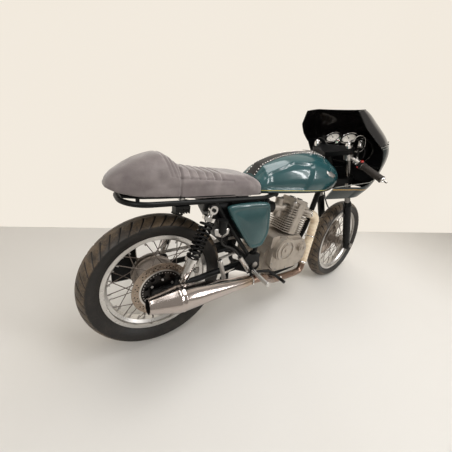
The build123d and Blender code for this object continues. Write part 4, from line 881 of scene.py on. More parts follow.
@dataclass
class Chain(Maker):
    """Roller chain round both sprockets."""

    front: tuple[float, float] = (PIVOT[0] + 0.144, PIVOT[1] + 0.026)
    rear_r: float = 0.0945
    front_r: float = 0.0415
    y: float = 0.076
    pitch: float = 0.015875

    def pins(self) -> np.ndarray:
        """Pins at equal steps round the loop, as (x, z): a run, an arc, the other run and its arc."""
        rear, front = np.array((0.0, REAR_R)), np.array(self.front)
        gap, drop = front - rear, self.rear_r - self.front_r
        reach = math.hypot(*gap)
        tilt, spread = math.atan2(gap[1], gap[0]), math.acos(drop / reach)
        run = math.sqrt(reach ** 2 - drop ** 2)
        upper, lower = tilt + spread, tilt - spread
        around_front, around_rear = 2 * spread * self.front_r, 2 * (math.pi - spread) * self.rear_r

        def on(centre: np.ndarray, radius: float, angle: float) -> np.ndarray:
            return centre + radius * np.array((math.cos(angle), math.sin(angle)))

        total = 2 * run + around_front + around_rear
        count = round(total / self.pitch / 2) * 2
        pins = []
        for d in np.arange(count) * total / count:
            if d < run:
                a, b = on(rear, self.rear_r, upper), on(front, self.front_r, upper)
                pins.append(a + (b - a) * d / run)
            elif d < run + around_front:
                pins.append(on(front, self.front_r, upper - (d - run) / self.front_r))
            elif d < 2 * run + around_front:
                a, b = on(front, self.front_r, lower), on(rear, self.rear_r, lower)
                pins.append(a + (b - a) * (d - run - around_front) / run)
            else:
                pins.append(on(rear, self.rear_r, lower - (d - 2 * run - around_front) / self.rear_r))
        return np.array(pins + pins[:1])

    def build(self) -> None:
        """Adds the links: two stadium plates and a roller each."""
        pins, parts = self.pins(), []
        w = circle(12)
        for i, (a, b) in enumerate(zip(pins, pins[1:])):
            way = unit(b - a)
            side = np.array((-way[1], way[0]))
            waist = np.where(np.abs(np.cos(w)) < 0.3, 0.0048, 0.0066)
            end = np.where(np.cos(w)[:, None] > 0, b, a)
            ring = end + 0.0066 * np.cos(w)[:, None] * way + (waist * np.sin(w))[:, None] * side
            middle = np.broadcast_to((a + b) / 2, ring.shape)
            for edge in (-1, 1):
                y = self.y + edge * (0.0052 if i % 2 else 0.0036)
                rows = [np.insert(p, 1, y + edge * d, axis=1)
                        for p, d in ((middle, 0), (ring, 0), (ring, 0.0014), (middle, 0.0014))]
                parts.append(grid(self.bike.at(np.array(rows))))
            parts.append(lathe(self.bike.at((a[0], self.y - 0.0068, a[1])), self.bike.left,
                               [(0, 0), (0, 3.5), (13.6, 3.5), (13.6, 0)], 8))
        self.add("chain_links", join(parts), "steel", "disc_steel", ["drive_chain"], smooth=False)


# ------------------------------------------------------------------ engine and exhaust
@dataclass
class Exhaust(Maker):
    """Tape round the header, the clamps and the silencer's skin."""

    radius: float = 0.026
    bend: float = 0.044
    tape_pitch: float = 0.021
    tape_step: float = 0.0022

    def centre_line(self) -> np.ndarray:
        """Header's centre line in the upright machine: two runs and the arc between them."""
        way = unit(CYLINDER_FORE + (0.0, -0.12, 0.0))
        face = CRANK + CYLINDER_UP * 0.226 + (0.0, -0.030, 0.004) + way * 0.112
        knee = face + way * 0.082
        foot = CRANK + (0.150, -0.104, -0.183)
        joint = foot + (knee - foot) * 0.14
        into, out = unit(knee - face), unit(joint - knee)
        half_turn = math.acos(into @ out) / 2
        cut = self.bend * math.tan(half_turn)
        start, end = knee - into * cut, knee + out * cut
        centre = knee + unit(out - into) * (self.bend / math.cos(half_turn))
        arc = [centre + unit(p - centre) * self.bend for p in np.linspace(start, end, 12)]
        return np.concatenate([np.linspace(face, start, 8)[:-1], arc, np.linspace(end, joint, 60)[1:]])

    def build(self) -> None:
        """Adds the wrapped header: radius R + h frac(s / pitch + a / 2 pi), a saw-tooth of overlaps."""
        line = self.centre_line()
        s = np.concatenate([[0], np.cumsum(np.linalg.norm(np.diff(line, axis=0), axis=1))])
        fine = np.arange(0, s[-1], 0.0016)
        path = np.stack([np.interp(fine, s, line[:, k]) for k in range(3)], axis=1)
        way = np.gradient(path, axis=0)
        way /= np.linalg.norm(way, axis=1)[:, None]
        side = np.cross(way, (0.0, 1.0, 0.0))
        side /= np.linalg.norm(side, axis=1)[:, None]
        a = circle(56)[None, :]
        phase = fine[:, None] / self.tape_pitch + a / (2 * math.pi)
        saw = phase - np.floor(phase)
        fray = 0.0004 * np.sin(a * 7 + fine[:, None] * 90)
        r = self.radius - 0.0012 + self.tape_step * np.clip(saw * 1.25, 0, 1) ** 0.6 + fray * (saw > 0.8)
        ring = np.cos(a)[..., None] * side[:, None] + np.sin(a)[..., None] * np.cross(way, side)[:, None]
        points = path[:, None] + r[..., None] * ring
        self.skin("header_wrap", points, "pipe_wrap", "pipe_wrap", ["header_pipe"])
        mouth, tail = vec((0.405, -0.194, 0.334)), vec((0.016, -0.212, 0.366))
        skin = [(2, 24.3), (10, 25.2)] + [(t, 24.5 + 30 * t / 372) for t in np.linspace(20, 366, 8)]
        skin += [(370, 55.5), (373.5, 56.2), (377, 54.8), (391, 54.8), (394.5, 56.2), (398, 54.5)]
        skin += [(t, 54.5 - 25 * (t - 396) / 112) for t in np.linspace(404, 504, 6)]
        skin += [(508, 30.2), (509.2, 29.2), (508.8, 27.8)]
        self.turn("silencer_skin", self.bike.at(mouth), self.bike.way(tail - mouth), skin,
                  "silencer_chrome", "polished_metal", 96)
        wrapped = 1000 * self.radius + 1.6
        clamps = [self.clamp(path[index], way[index], wrapped, wide)
                  for index, wide in ((5, 10), (len(path) - 6, 12), (int(len(path) * 0.52), 6))]
        clamps += [self.clamp(mouth, (0.389, 0.018, -0.032), 22.5, 20),
                   self.clamp((0.700, -0.1245, 0.2225), (0.9, 0.1, -0.1), 22.2, 10)]
        self.add("exhaust_clamps", join(clamps), "chrome", "polished_metal")

    def clamp(self, at: Point, way: Point, radius: float, wide: float) -> Mesh:
        """Band with a screw across its ears; radius and width in millimetres."""
        centre, axis, half = self.bike.at(at), unit(self.bike.way(way)), wide / 2
        rows = [(-half, radius - 1), (-half, radius), (0, radius + 0.6), (half, radius), (half, radius - 1)]
        ear = centre + unit(np.cross(axis, self.bike.up)) * (radius + 3) / 1000
        screw = [(0, 0), (0, 4.2), (4, 4.2), (4, 2.6), (18, 2.6), (18, 0)]
        return join([lathe(centre, axis, rows), lathe(ear - self.bike.up * 0.009, self.bike.up, screw, 10)])


@dataclass
class Covers(Maker):
    """Domed side covers and the small plates and boxes round them, in millimetres."""

    outline: Sequence[Point] = ((240, 716), (498, 722), (520, 560), (492, 488), (420, 478))
    # name, outline, y of both faces, width of the edge's round, finish, slot
    plates: Sequence[tuple] = (
        ("battery_guard", ((232, 640), (196, 712), (320, 714), (320, 470), (292, 520), (262, 592)),
         -84, 84, 4, "satin_black", "frame_black"),
        # the heel plate is alloy, given white enamel as a painted highlight for its bright reflection
        ("heel_plate", ((292, 388), (330, 392), (410, 358), (425, 300), (400, 292), (300, 322)),
         -160.5, -157, 1.5, "white_enamel", "polished_metal"),
        ("reservoir_holder", ((193, 620), (273, 616), (270, 586), (240, 572), (202, 588)),
         -150, -146, 1.5, "satin_alloy", "polished_metal"))

    def build(self) -> None:
        """Adds the covers: y(k) rises from the rim over a raised panel to the middle."""
        shell = slab(self.outline, [
            (1.0, 128.5), (1.0, 140.0), (0.992, 144.5), (0.965, 147.5), (0.90, 148.6), (0.845, 148.6),
            (0.815, 146.2), (0.785, 146.8), (0.70, 149.2), (0.55, 151.6), (0.35, 153.2), (0.15, 153.8),
            (0.0, 154.0)])
        left, right = (grid(self.bike.at(shell * (1.0, side, 1.0))) for side in (1, -1))
        self.add("side_cover_skins", join([left, (right[0], right[1][:, ::-1])]), "cover_green", "tank_green",
                 ["side_covers"])
        for name, outline, low, high, edge, finish, slot in self.plates:
            rows = [(0.0, low), (0.97, low), (1.0, low + edge), (1.0, high - edge), (0.97, high), (0.0, high)]
            self.skin(name, slab(outline, rows), finish, slot)


@dataclass
class EngineTrim(Maker):
    """Screws and caps of the engine, and the sleeves of the pegs."""

    # x and z of the screws from the crank, in millimetres
    right: Sequence[Point] = ((-160, -50), (-158, 24), (-112, 72), (-20, 66), (70, 56), (104, 4), (98, -58),
                              (54, -98), (-36, -100), (-122, -98))
    left: Sequence[Point] = ((-54, -55), (-52, 54), (72, 56), (104, 6), (98, -58), (54, -98), (-54, -94))

    def build(self) -> None:
        """Adds the screws round both covers, the head nuts and the sleeves."""
        at, left = self.bike.at, self.bike.left
        screws = [bolt(at(CRANK + (x / 1000, y, z / 1000)), out, 5.2, 5)
                  for marks, y, out in ((self.right, -0.1275, -left), (self.left, 0.1115, left))
                  for x, z in marks]
        for a in circle(5) + 0.3:
            mark = CRANK + (0.043 * math.cos(a) - 0.092, -0.1495, 0.043 * math.sin(a) + 0.033)
            screws.append(bolt(at(mark), -left, 4.6, 4.5))
        self.add("cover_screws", join(screws), "steel", "engine_alloy")
        axis, nuts = self.bike.way(CYLINDER_UP), []
        stud, plug = [(0, 9), (9, 9), (11, 7), (11, 0)], [(0, 20), (6, 20), (8, 17), (8, 0)]
        for rise, fore, y, rows in ((0.265, -0.058, -0.052, stud), (0.265, 0.058, -0.052, stud),
                                    (0.265, -0.058, 0.052, stud), (0.265, 0.058, 0.052, stud),
                                    (0.291, -0.036, 0.0, plug), (0.291, 0.036, 0.0, plug)):
            foot = CRANK + CYLINDER_UP * rise + CYLINDER_FORE * fore + (0, y, 0)
            nuts.append(lathe(at(foot), axis, rows, 6))
        self.add("head_nuts", join(nuts), "steel", "engine_alloy")
        x, z = PIVOT
        runs = [(vec(a) * (1, side, 1), vec(b) * (1, side, 1)) for side in (1, -1) for a, b in (
            ((x - 0.0372, 0.166, z - 0.0080), (x - 0.0482, 0.2935, z - 0.0050)),
            ((0.2780, 0.1508, 0.3462), (0.2371, 0.1562, 0.4645)))]
        sleeves = join(self.sleeve(at(a), at(b)) for a, b in runs)
        self.add("peg_sleeves", sleeves, "satin_alloy", "polished_metal")

    @staticmethod
    def sleeve(start: np.ndarray, end: np.ndarray) -> Mesh:
        """Ringed sleeve on a peg: r is 11.0 mm on the lands and 10.3 mm in the grooves."""
        length = 1000 * float(np.linalg.norm(end - start))
        rows = [(0, 10), (0, 11.2), (6, 11.2)]
        for t in np.arange(10, length - 12, 9):
            rows += [(t, 11), (t + 5.5, 11), (t + 6.5, 10.3), (t + 8.5, 10.3)]
        rows += [(length - 4, 11.8), (length, 11.2), (length + 1.2, 8), (length + 1.2, 0)]
        return lathe(start, end - start, rows, 24)


# ------------------------------------------------------------------ seat
@dataclass
class Seat(Maker):
    """Humped pad in suede, blown up as cloth and then sewn.

    Each row is x, half width, height at the middle and squareness of the section.
    """

    rows: Sequence[Point] = (
        (-0.193, 0.040, 0.036, 2.6), (-0.182, 0.060, 0.056, 2.8), (-0.150, 0.084, 0.084, 3.0),
        (-0.086, 0.107, 0.120, 3.2), (-0.025, 0.115, 0.140, 3.3), (0.010, 0.117, 0.139, 3.4),
        (0.040, 0.118, 0.118, 3.7), (0.070, 0.119, 0.098, 4.2), (0.105, 0.120, 0.089, 4.8),
        (0.150, 0.1205, 0.083, 5.2), (0.260, 0.121, 0.074, 5.4), (0.400, 0.119, 0.066, 5.4),
        (0.440, 0.117, 0.058, 4.6), (0.451, 0.114, 0.047, 3.8))
    shrink: float = 0.985
    swell: float = 0.007
    voxel: float = 0.006
    blow_steps: int = 18

    def shell(self) -> Mesh:
        """Closed pad: |y / w|^n + |z / h|^n = 1 across, rows smoothed along."""
        rows = smooth_line(self.rows, 7)
        rows = np.concatenate([[rows[0] * (1, 0.02, 0.3, 1) - (0.003, 0, 0, 0)], rows,
                               [rows[-1] * (1, 0.02, 0.6, 1) + (0.001, 0, 0, 0)]])
        c, s = np.cos(np.linspace(0, math.pi, 41)), np.sin(np.linspace(0, math.pi, 41))
        base = SEAT_BASE + 0.001
        rings = []
        for x, wide, high, n in rows:
            y = wide * self.shrink * np.sign(c) * np.abs(c) ** (2 / n)
            z = base + high * self.shrink * np.abs(s) ** (2 / n)
            under = np.linspace((x, y[-1], base), (x, y[0], base), 15)[1:-1]
            rings.append(np.concatenate([np.stack([np.full_like(y, x), y, z], axis=1), under]))
        return grid(self.bike.at(np.array(rings)))

    @staticmethod
    def sew(points: np.ndarray) -> np.ndarray:
        """Pulls the suede in along the seams and drops its skirt; points are of the upright machine."""
        x, y, z = points.T
        high, wide = z - SEAT_BASE, np.abs(y)

        def seam(line: np.ndarray, width: float, depth: float) -> np.ndarray:
            return depth * np.exp(-(line / width) ** 2)

        ridge = np.where(wide < 0.104, 1.0, 0.0)
        pull = seam(x - 0.052 - high * 0.10, 0.0036, 0.0060) * (wide > 0.05)
        for i in range(6):
            pull += seam(x - 0.072 - i * 0.036 + wide * 0.10, 0.0056, 0.0062) * ridge
        for i in range(3):
            line = x - 0.034 + i * 0.016 - (0.135 - high) * 0.30
            pull += seam(line, 0.0042, 0.0030) * (high > 0.05) * ridge
        pull += seam(np.abs(wide - 0.104), 0.0036, 0.0040) * (high > 0.03) * (x > 0.05) * (x < 0.30)
        pull += 0.0011 * np.clip(np.sin(x * 61.0 + y * 33.0) * np.sin(z * 83.0 - x * 27.0), 0, 1)
        inward = np.stack([x, y * 0.3, np.full_like(z, SEAT_BASE + 0.01)], axis=1) - points
        inward /= np.linalg.norm(inward, axis=1)[:, None]
        sewn = points + inward * pull[:, None]
        edge = np.clip((wide - 0.100) / 0.010, 0, 1) * np.clip(x / 0.12, 0, 1)
        sewn[:, 2] -= 0.0105 * edge * np.clip(1 - high / 0.03, 0, 1)
        tail = np.clip((-0.090 - x) / 0.10, 0, 1) ** 1.6
        sewn[:, 2] += 0.020 * tail * np.clip(1 - high / 0.035, 0, 1)
        return sewn

    def build(self) -> None:
        """Adds the pad."""
        pad = self.add("seat_suede", self.shell(), "suede", "seat_suede", ["seat_pad"])
        remesh = pad.modifiers.new("even_mesh", "REMESH")
        remesh.mode = "VOXEL"
        remesh.voxel_size = self.voxel
        apply_modifiers(pad)
        local = self.local(pad.data)
        local = self.blow(pad, local)
        local[:, 2] = np.maximum(local[:, 2], SEAT_BASE + 0.0006)
        self.store(pad, local)
        relax = pad.modifiers.new("soft", "SUBSURF")
        relax.levels = relax.render_levels = 1
        apply_modifiers(pad)
        self.store(pad, self.sew(self.local(pad.data)))
        pad.data.polygons.foreach_set("use_smooth", np.ones(len(pad.data.polygons), dtype=bool))
        pad.data.materials.clear()
        pad.data.materials.append(self.shop.paint.get("suede"))

    def local(self, mesh: bpy.types.Mesh) -> np.ndarray:
        """A mesh's points in the upright machine."""
        co = np.empty(len(mesh.vertices) * 3, dtype=np.float32)
        mesh.vertices.foreach_get("co", co)
        return (co.reshape(-1, 3) - self.bike.origin) @ self.bike.axes.T

    def store(self, pad: bpy.types.Object, local: np.ndarray) -> None:
        """Writes points of the upright machine back into the pad."""
        pad.data.vertices.foreach_set("co", self.bike.at(local).astype(np.float32).ravel())
        pad.data.update()

    def blow(self, pad: bpy.types.Object, before: np.ndarray) -> np.ndarray:
        """Cloth under pressure, with its base held, capped at swell."""
        group = pad.vertex_groups.new(name="base")
        group.add([int(i) for i in np.flatnonzero(before[:, 2] < SEAT_BASE + 0.004)], 1.0, "REPLACE")
        cloth = pad.modifiers.new("cloth", "CLOTH")
        settings = cloth.settings
        settings.quality = 5
        settings.use_pressure = True
        settings.uniform_pressure_force = 4.0
        settings.tension_stiffness = settings.compression_stiffness = 18.0
        settings.vertex_group_mass = "base"
        settings.effector_weights.gravity = 0.0
        scene = bpy.context.scene
        for step in range(1, self.blow_steps + 1):
            scene.frame_set(step)
        shaped = pad.evaluated_get(bpy.context.evaluated_depsgraph_get())
        move = self.local(shaped.to_mesh()) - before
        shaped.to_mesh_clear()
        pad.modifiers.remove(cloth)
        pad.vertex_groups.clear()
        scene.frame_set(1)
        length = np.linalg.norm(move, axis=1)[:, None]
        return before + move * np.minimum(1.0, self.swell / np.maximum(length, 1e-9))


def apply_modifiers(obj: bpy.types.Object) -> None:
    """Bakes an object's modifiers into its mesh."""
    mesh = bpy.data.meshes.new_from_object(obj.evaluated_get(bpy.context.evaluated_depsgraph_get()))
    obj.modifiers.clear()
    old, obj.data = obj.data, mesh
    bpy.data.meshes.remove(old)


# ------------------------------------------------------------------ tank
@dataclass
class Tank(Maker):
    """Tank skin with knee panels, a centre strap, blank badges and a lower lip.

    A slice has a side arc through (base, low), (middle, 0.42 h) and (shoulder, 0.82 h), and a top arc
    over (0, h).  Each row is share of the length, base, middle and shoulder half widths, rise of the
    base, and height, in millimetres.
    """

    back: float = 0.462
    front: float = 1.040
    rows: Sequence[Point] = (
        (0.0, 82, 90, 42, 0, 74), (0.045, 87, 96, 54, 0, 108), (0.10, 92, 102, 63, 0, 134),
        (0.308, 108, 122, 84, 0, 174), (0.55, 128, 143, 100, 2, 194), (0.758, 132, 148, 100, 6, 194),
        (0.913, 116, 134, 82, 16, 168), (1.0, 84, 100, 56, 32, 128))
    knee_depth: float = 0.011
    strap_half: float = 0.034
    side_points: int = 44
    top_points: int = 61

    @staticmethod
    def arc(p: Point, q: Point, r: Point, count: int) -> np.ndarray:
        """Points on the circle through p, q and r, from p to r."""
        (ax, ay), (bx, by), (cx, cy) = p, q, r
        d = 2 * (ax * (by - cy) + bx * (cy - ay) + cx * (ay - by))
        a2, b2, c2 = ax * ax + ay * ay, bx * bx + by * by, cx * cx + cy * cy
        centre = np.array(((a2 * (by - cy) + b2 * (cy - ay) + c2 * (ay - by)) / d,
                           (a2 * (cx - bx) + b2 * (ax - cx) + c2 * (bx - ax)) / d))
        start, end, mid = (math.atan2(v[1] - centre[1], v[0] - centre[0]) for v in (p, r, q))
        turn = (end - start) % (2 * math.pi)
        if (mid - start) % (2 * math.pi) > turn:
            turn -= 2 * math.pi
        angles = start + turn * np.linspace(0, 1, count)
        reach = math.hypot(ax - centre[0], ay - centre[1])
        return centre + reach * np.stack([np.cos(angles), np.sin(angles)], axis=1)

    def slices(self) -> np.ndarray:
        """Rows of the skin in the upright machine, shape (rows, columns, 3)."""
        out = []
        for share, base, middle, shoulder, low, high in smooth_line(self.rows, 14):
            mid_z, top_z = low + (high - low) * 0.42, low + (high - low) * 0.82
            side = self.arc((-base, low), (-middle, mid_z), (-shoulder, top_z), self.side_points)
            top = self.arc((-shoulder, top_z), (0, high), (shoulder, top_z), self.top_points)
            under = np.stack([np.linspace(base, -base, 15)[1:-1], np.full(13, low)], axis=1)
            ring = np.concatenate([side[:-1], top[:-1], side[::-1] * (-1, 1), under]) / 1000
            x = np.full(len(ring), self.back + share * (self.front - self.back))
            out.append(np.stack([x, ring[:, 0], TANK_BASE + ring[:, 1]], axis=1))
        return np.array([self.cap(out[0]), *out, self.cap(out[-1])])

    @staticmethod
    def cap(row: np.ndarray) -> np.ndarray:
        """Last row of an end, drawn in to its middle."""
        return np.stack([row[:, 0], row[:, 1] * 0.02, row[:, 2] * 0.3 + 0.7 * row[:, 2].mean()], axis=1)

    def knees(self, p: np.ndarray) -> np.ndarray:
        """Presses the knee panels in: depth by smooth steps along x and z."""
        x, y, z = np.moveaxis(p, -1, 0)
        edge = 0.745 + (z - 0.757) * 0.30
        along = ease((edge - x) / 0.014) * ease((x - 0.478) / 0.060)
        crest = TANK_BASE + 0.080 + 0.075 * np.clip((x - self.back) / 0.2, 0, 1)
        rise = ease((crest - z) / 0.020) * ease((z - TANK_BASE - 0.014) / 0.012)
        out = p.copy()
        out[..., 1] -= np.sign(y) * self.knee_depth * along * rise * (np.abs(y) > 0.03)
        return out

    def build(self) -> None:
        """Adds the skin and its trim."""
        plain = self.slices()
        skin = self.knees(plain)
        self.skin("tank_skin", skin, "tank_green", "tank_green", ["fuel_tank"])
        self.strap(plain)
        self.badges(skin)
        lip = skin[2:-2, 0] - (0.0, 0.0, 0.001)
        lips = join(tube(self.bike.at(lip * (1, side, 1)), 2.8) for side in (1, -1))
        self.add("tank_lip", lips, "gloss_black", "frame_black")

    def strap(self, skin: np.ndarray) -> None:
        """Leather strap over the middle of the tank, with rivets on both edges."""
        across = np.linspace(-self.strap_half, self.strap_half, 15)
        lift = 0.0022 * np.clip((self.strap_half - np.abs(across)) / 0.002, 0.1, 1)
        rivet_y = self.strap_half * 0.84
        top = slice(self.side_points - 1, self.side_points + self.top_points - 1)
        line, edge = [], []
        for row in skin[1:-1]:
            x, (y, z) = row[0, 0], row[top, 1:].T
            height = np.interp(across, y, z)
            line.append(np.stack([np.full_like(height, x), across, height + lift], axis=1))
            edge.append((x, float(np.interp(rivet_y, y, z)) + 0.002))
        self.skin("tank_strap", np.array(line), "strap_leather", "seat_suede", closed=False)
        edge = np.array(edge)
        steps = np.concatenate([[0], np.cumsum(np.hypot(*np.diff(edge, axis=0).T))])
        rivets = []
        for s in np.arange(0.006, steps[-1], 0.0165):
            (x, z), (x2, z2) = ([np.interp(t, steps, edge[:, k]) for k in (0, 1)] for t in (s, s + 0.003))
            out = (z - z2, 0.0, x2 - x) if s + 0.003 < steps[-1] else (0.5, 0.0, 0.8)
            for side in (-1, 1):
                rivets.append(lathe(self.bike.at((x, side * rivet_y, z)), self.bike.way(out),
                                    [(-1, 3.6), (1.2, 3.6), (2.6, 2.2), (3, 0)], 10))
        self.add("strap_rivets", join(rivets), "chrome", "polished_metal")

    def badges(self, skin: np.ndarray) -> None:
        """Blank winged plate on each side of the tank."""
        u, v = np.meshgrid(np.linspace(-1, 1, 25), np.linspace(-1, 1, 9), indexing="ij")
        x = 0.910 + 0.042 * u
        z = 0.852 - 0.010 * u + 0.0135 * v * (1 - 0.55 * np.abs(u) ** 1.5) + 0.002 * np.cos(u * 7)
        sides = skin[1:-1, :self.side_points]
        xs = sides[:, 0, 0]
        y = np.empty_like(x)
        for i in np.ndindex(x.shape):
            near = int(np.clip(np.searchsorted(xs, x[i]), 1, len(xs) - 1))
            t = (x[i] - xs[near - 1]) / max(xs[near] - xs[near - 1], 1e-9)
            wide = [np.interp(z[i], sides[k, :, 2], sides[k, :, 1]) for k in (near - 1, near)]
            y[i] = wide[0] + (wide[1] - wide[0]) * t
        dome = 0.0026 * np.clip((1 - np.maximum(np.abs(u) ** 4, v ** 4)) * 5, 0, 1)
        for side, name in ((1, "left"), (-1, "right")):
            points = np.stack([x, side * (np.abs(y) + dome + 0.0004), z], axis=-1)
            self.skin(f"{name}_badge", points, "satin_alloy", "polished_metal", closed=False)


# ------------------------------------------------------------------ fairing
@dataclass
class Fairing(Maker):
    """Edge trim, seam line, liner, lamp parts and screws of the fairing; the edge is (x, z) from head.

    The edge has piping below pipe_top and the screen's edging above it.
    """

    head: tuple[float, float] = (1.03495, 0.95557)
    lamp: float = 0.9856
    pipe_top: float = -0.12
    edge: Sequence[Point] = (
        (-0.128, -0.243), (-0.113, -0.164), (0.098, -0.164), (0.142, -0.152), (0.181, -0.114),
        (0.179, -0.049), (0.148, 0.002), (0.114, 0.046), (0.029, 0.094), (-0.042, 0.146),
        (-0.072, 0.215), (0.006, 0.235))

    def hit(self, tree: BVHTree, x: float, z: float, side: int) -> np.ndarray | None:
        """Inner face of the skin straight out from the middle plane."""
        found = meet([tree], self.bike.at((x, side * 0.02, z)), self.bike.way((0, side, 0)))
        return None if found is None else found + self.bike.way((0, side * 0.0017, 0))

    def build(self) -> None:
        """Adds the trim."""
        trees = [self.shop.surface("fairing_shell"), self.shop.surface("windscreen")]
        sides = zip(self.edge, self.edge[1:])
        fine = np.concatenate([np.linspace(a, b, 14, endpoint=False) for a, b in sides])
        pale, dark = [], []
        for side in (-1, 1):
            runs = {True: [], False: []}
            for dx, dz in fine:
                found = (self.hit(tree, self.head[0] + dx, self.head[1] + dz, side) for tree in trees)
                found = next((f for f in found if f is not None), None)
                if found is not None:
                    runs[bool(dz < self.pipe_top)].append(found)
            for low, tubes, radius in ((True, pale, 2.2), (False, dark, 2.4)):
                if len(runs[low]) > 3:
                    tubes.append(tube(np.array(runs[low]), radius))
        self.add("fairing_piping", join(pale), "pale_piping", "hose_rubber")
        self.add("screen_edging", join(dark), "gloss_black", "hose_rubber")
        self.seam(trees)
        self.lamp_parts()
        self.liner(trees[0])

    def seam(self, trees: Sequence[BVHTree]) -> None:
        """Two fine pale lines and a row of screws where the screen meets the shell."""
        lines, screws = [], []
        for side in (-1, 1):
            for offset in (-0.007, 0.005):
                run = []
                for dx in np.linspace(0.055, 0.335, 60):
                    dz = 0.030 + (dx + 0.035) / 0.480 * 0.105 + offset
                    start = self.bike.at((self.head[0] + dx, side * 0.45, self.head[1] + dz))
                    found = meet(trees, start, self.bike.way((0, -side, 0)))
                    if found is not None:
                        run.append(found + self.bike.way((0, side * 0.0002, 0)))
                if len(run) > 3:
                    lines.append(tube(np.array(run), 1.1, 6))
                if offset > 0:
                    screws += [bolt(at + self.bike.up * 0.006, self.bike.way((0, side, 0)), 3.6, 1.8)
                               for at in run[5::12]]
        self.add("screen_seam", join(lines), "pale_piping", "hose_rubber")
        self.add("screen_screws", join(screws), "satin_black", "black_metal")

    def liner(self, shell: BVHTree) -> None:
        """Black sheet under the lamp that closes the nose: lines across from skin to skin."""
        top, wide = [], 0.120
        for x, z in ((1.312, 0.769), (1.335, 0.772), (1.352, 0.781), (1.362, 0.797)):
            found = self.hit(shell, x, z, 1)
            if found is not None:
                wide = float((found - self.bike.origin) @ self.bike.left) - 0.003
            top.append(np.linspace((x, -wide, z), (x, wide, z), 25))
        top = np.array(top)
        rings = np.concatenate([top, (top - (0.0, 0.0, 0.0025))[:, ::-1]], axis=1)
        first, last = (np.broadcast_to(r.mean(axis=0), r.shape)[None] for r in (rings[0], rings[-1]))
        self.skin("nose_liner", np.concatenate([first, rings, last]), "satin_black", "frame_black")

    def lamp_parts(self) -> None:
        """Bezel, lens, and the rubber lip in the shell's hole: its x follows the curved nose."""
        a = circle(72)
        nose = 1.3886 - 0.0335 * np.cos(a) + 0.0135 * np.sin(a) ** 2
        rings = []
        for r, dx in ((0.0765, -0.006), (0.0800, -0.006), (0.0835, 0.002), (0.0825, 0.0065), (0.0790, 0.0055),
                      (0.0765, 0.001)):
            x = np.minimum(nose + dx, 1.391) if r < 0.077 else nose + dx
            rings.append(np.stack([x, r * np.sin(a), self.lamp + r * np.cos(a)], axis=1))
        self.skin("lamp_gasket", np.array(rings), "rubber", "hose_rubber")
        centre, way = self.bike.at((1.392, 0.0, self.lamp)), self.bike.way((1.0, 0.0, 0.0))
        bezel = [(-4, 76.2), (2, 76.4), (6, 73), (4, 69), (0, 68)]
        self.turn("lamp_bezel", centre, way, bezel, "chrome", "lamp_parts", 64)
        dome = [(11 * (1 - (r / 69) ** 2) + 1, r) for r in np.linspace(69, 0, 14)]
        self.turn("lamp_lens", centre, way, dome, "lamp_glass", "lamp_parts", 64)


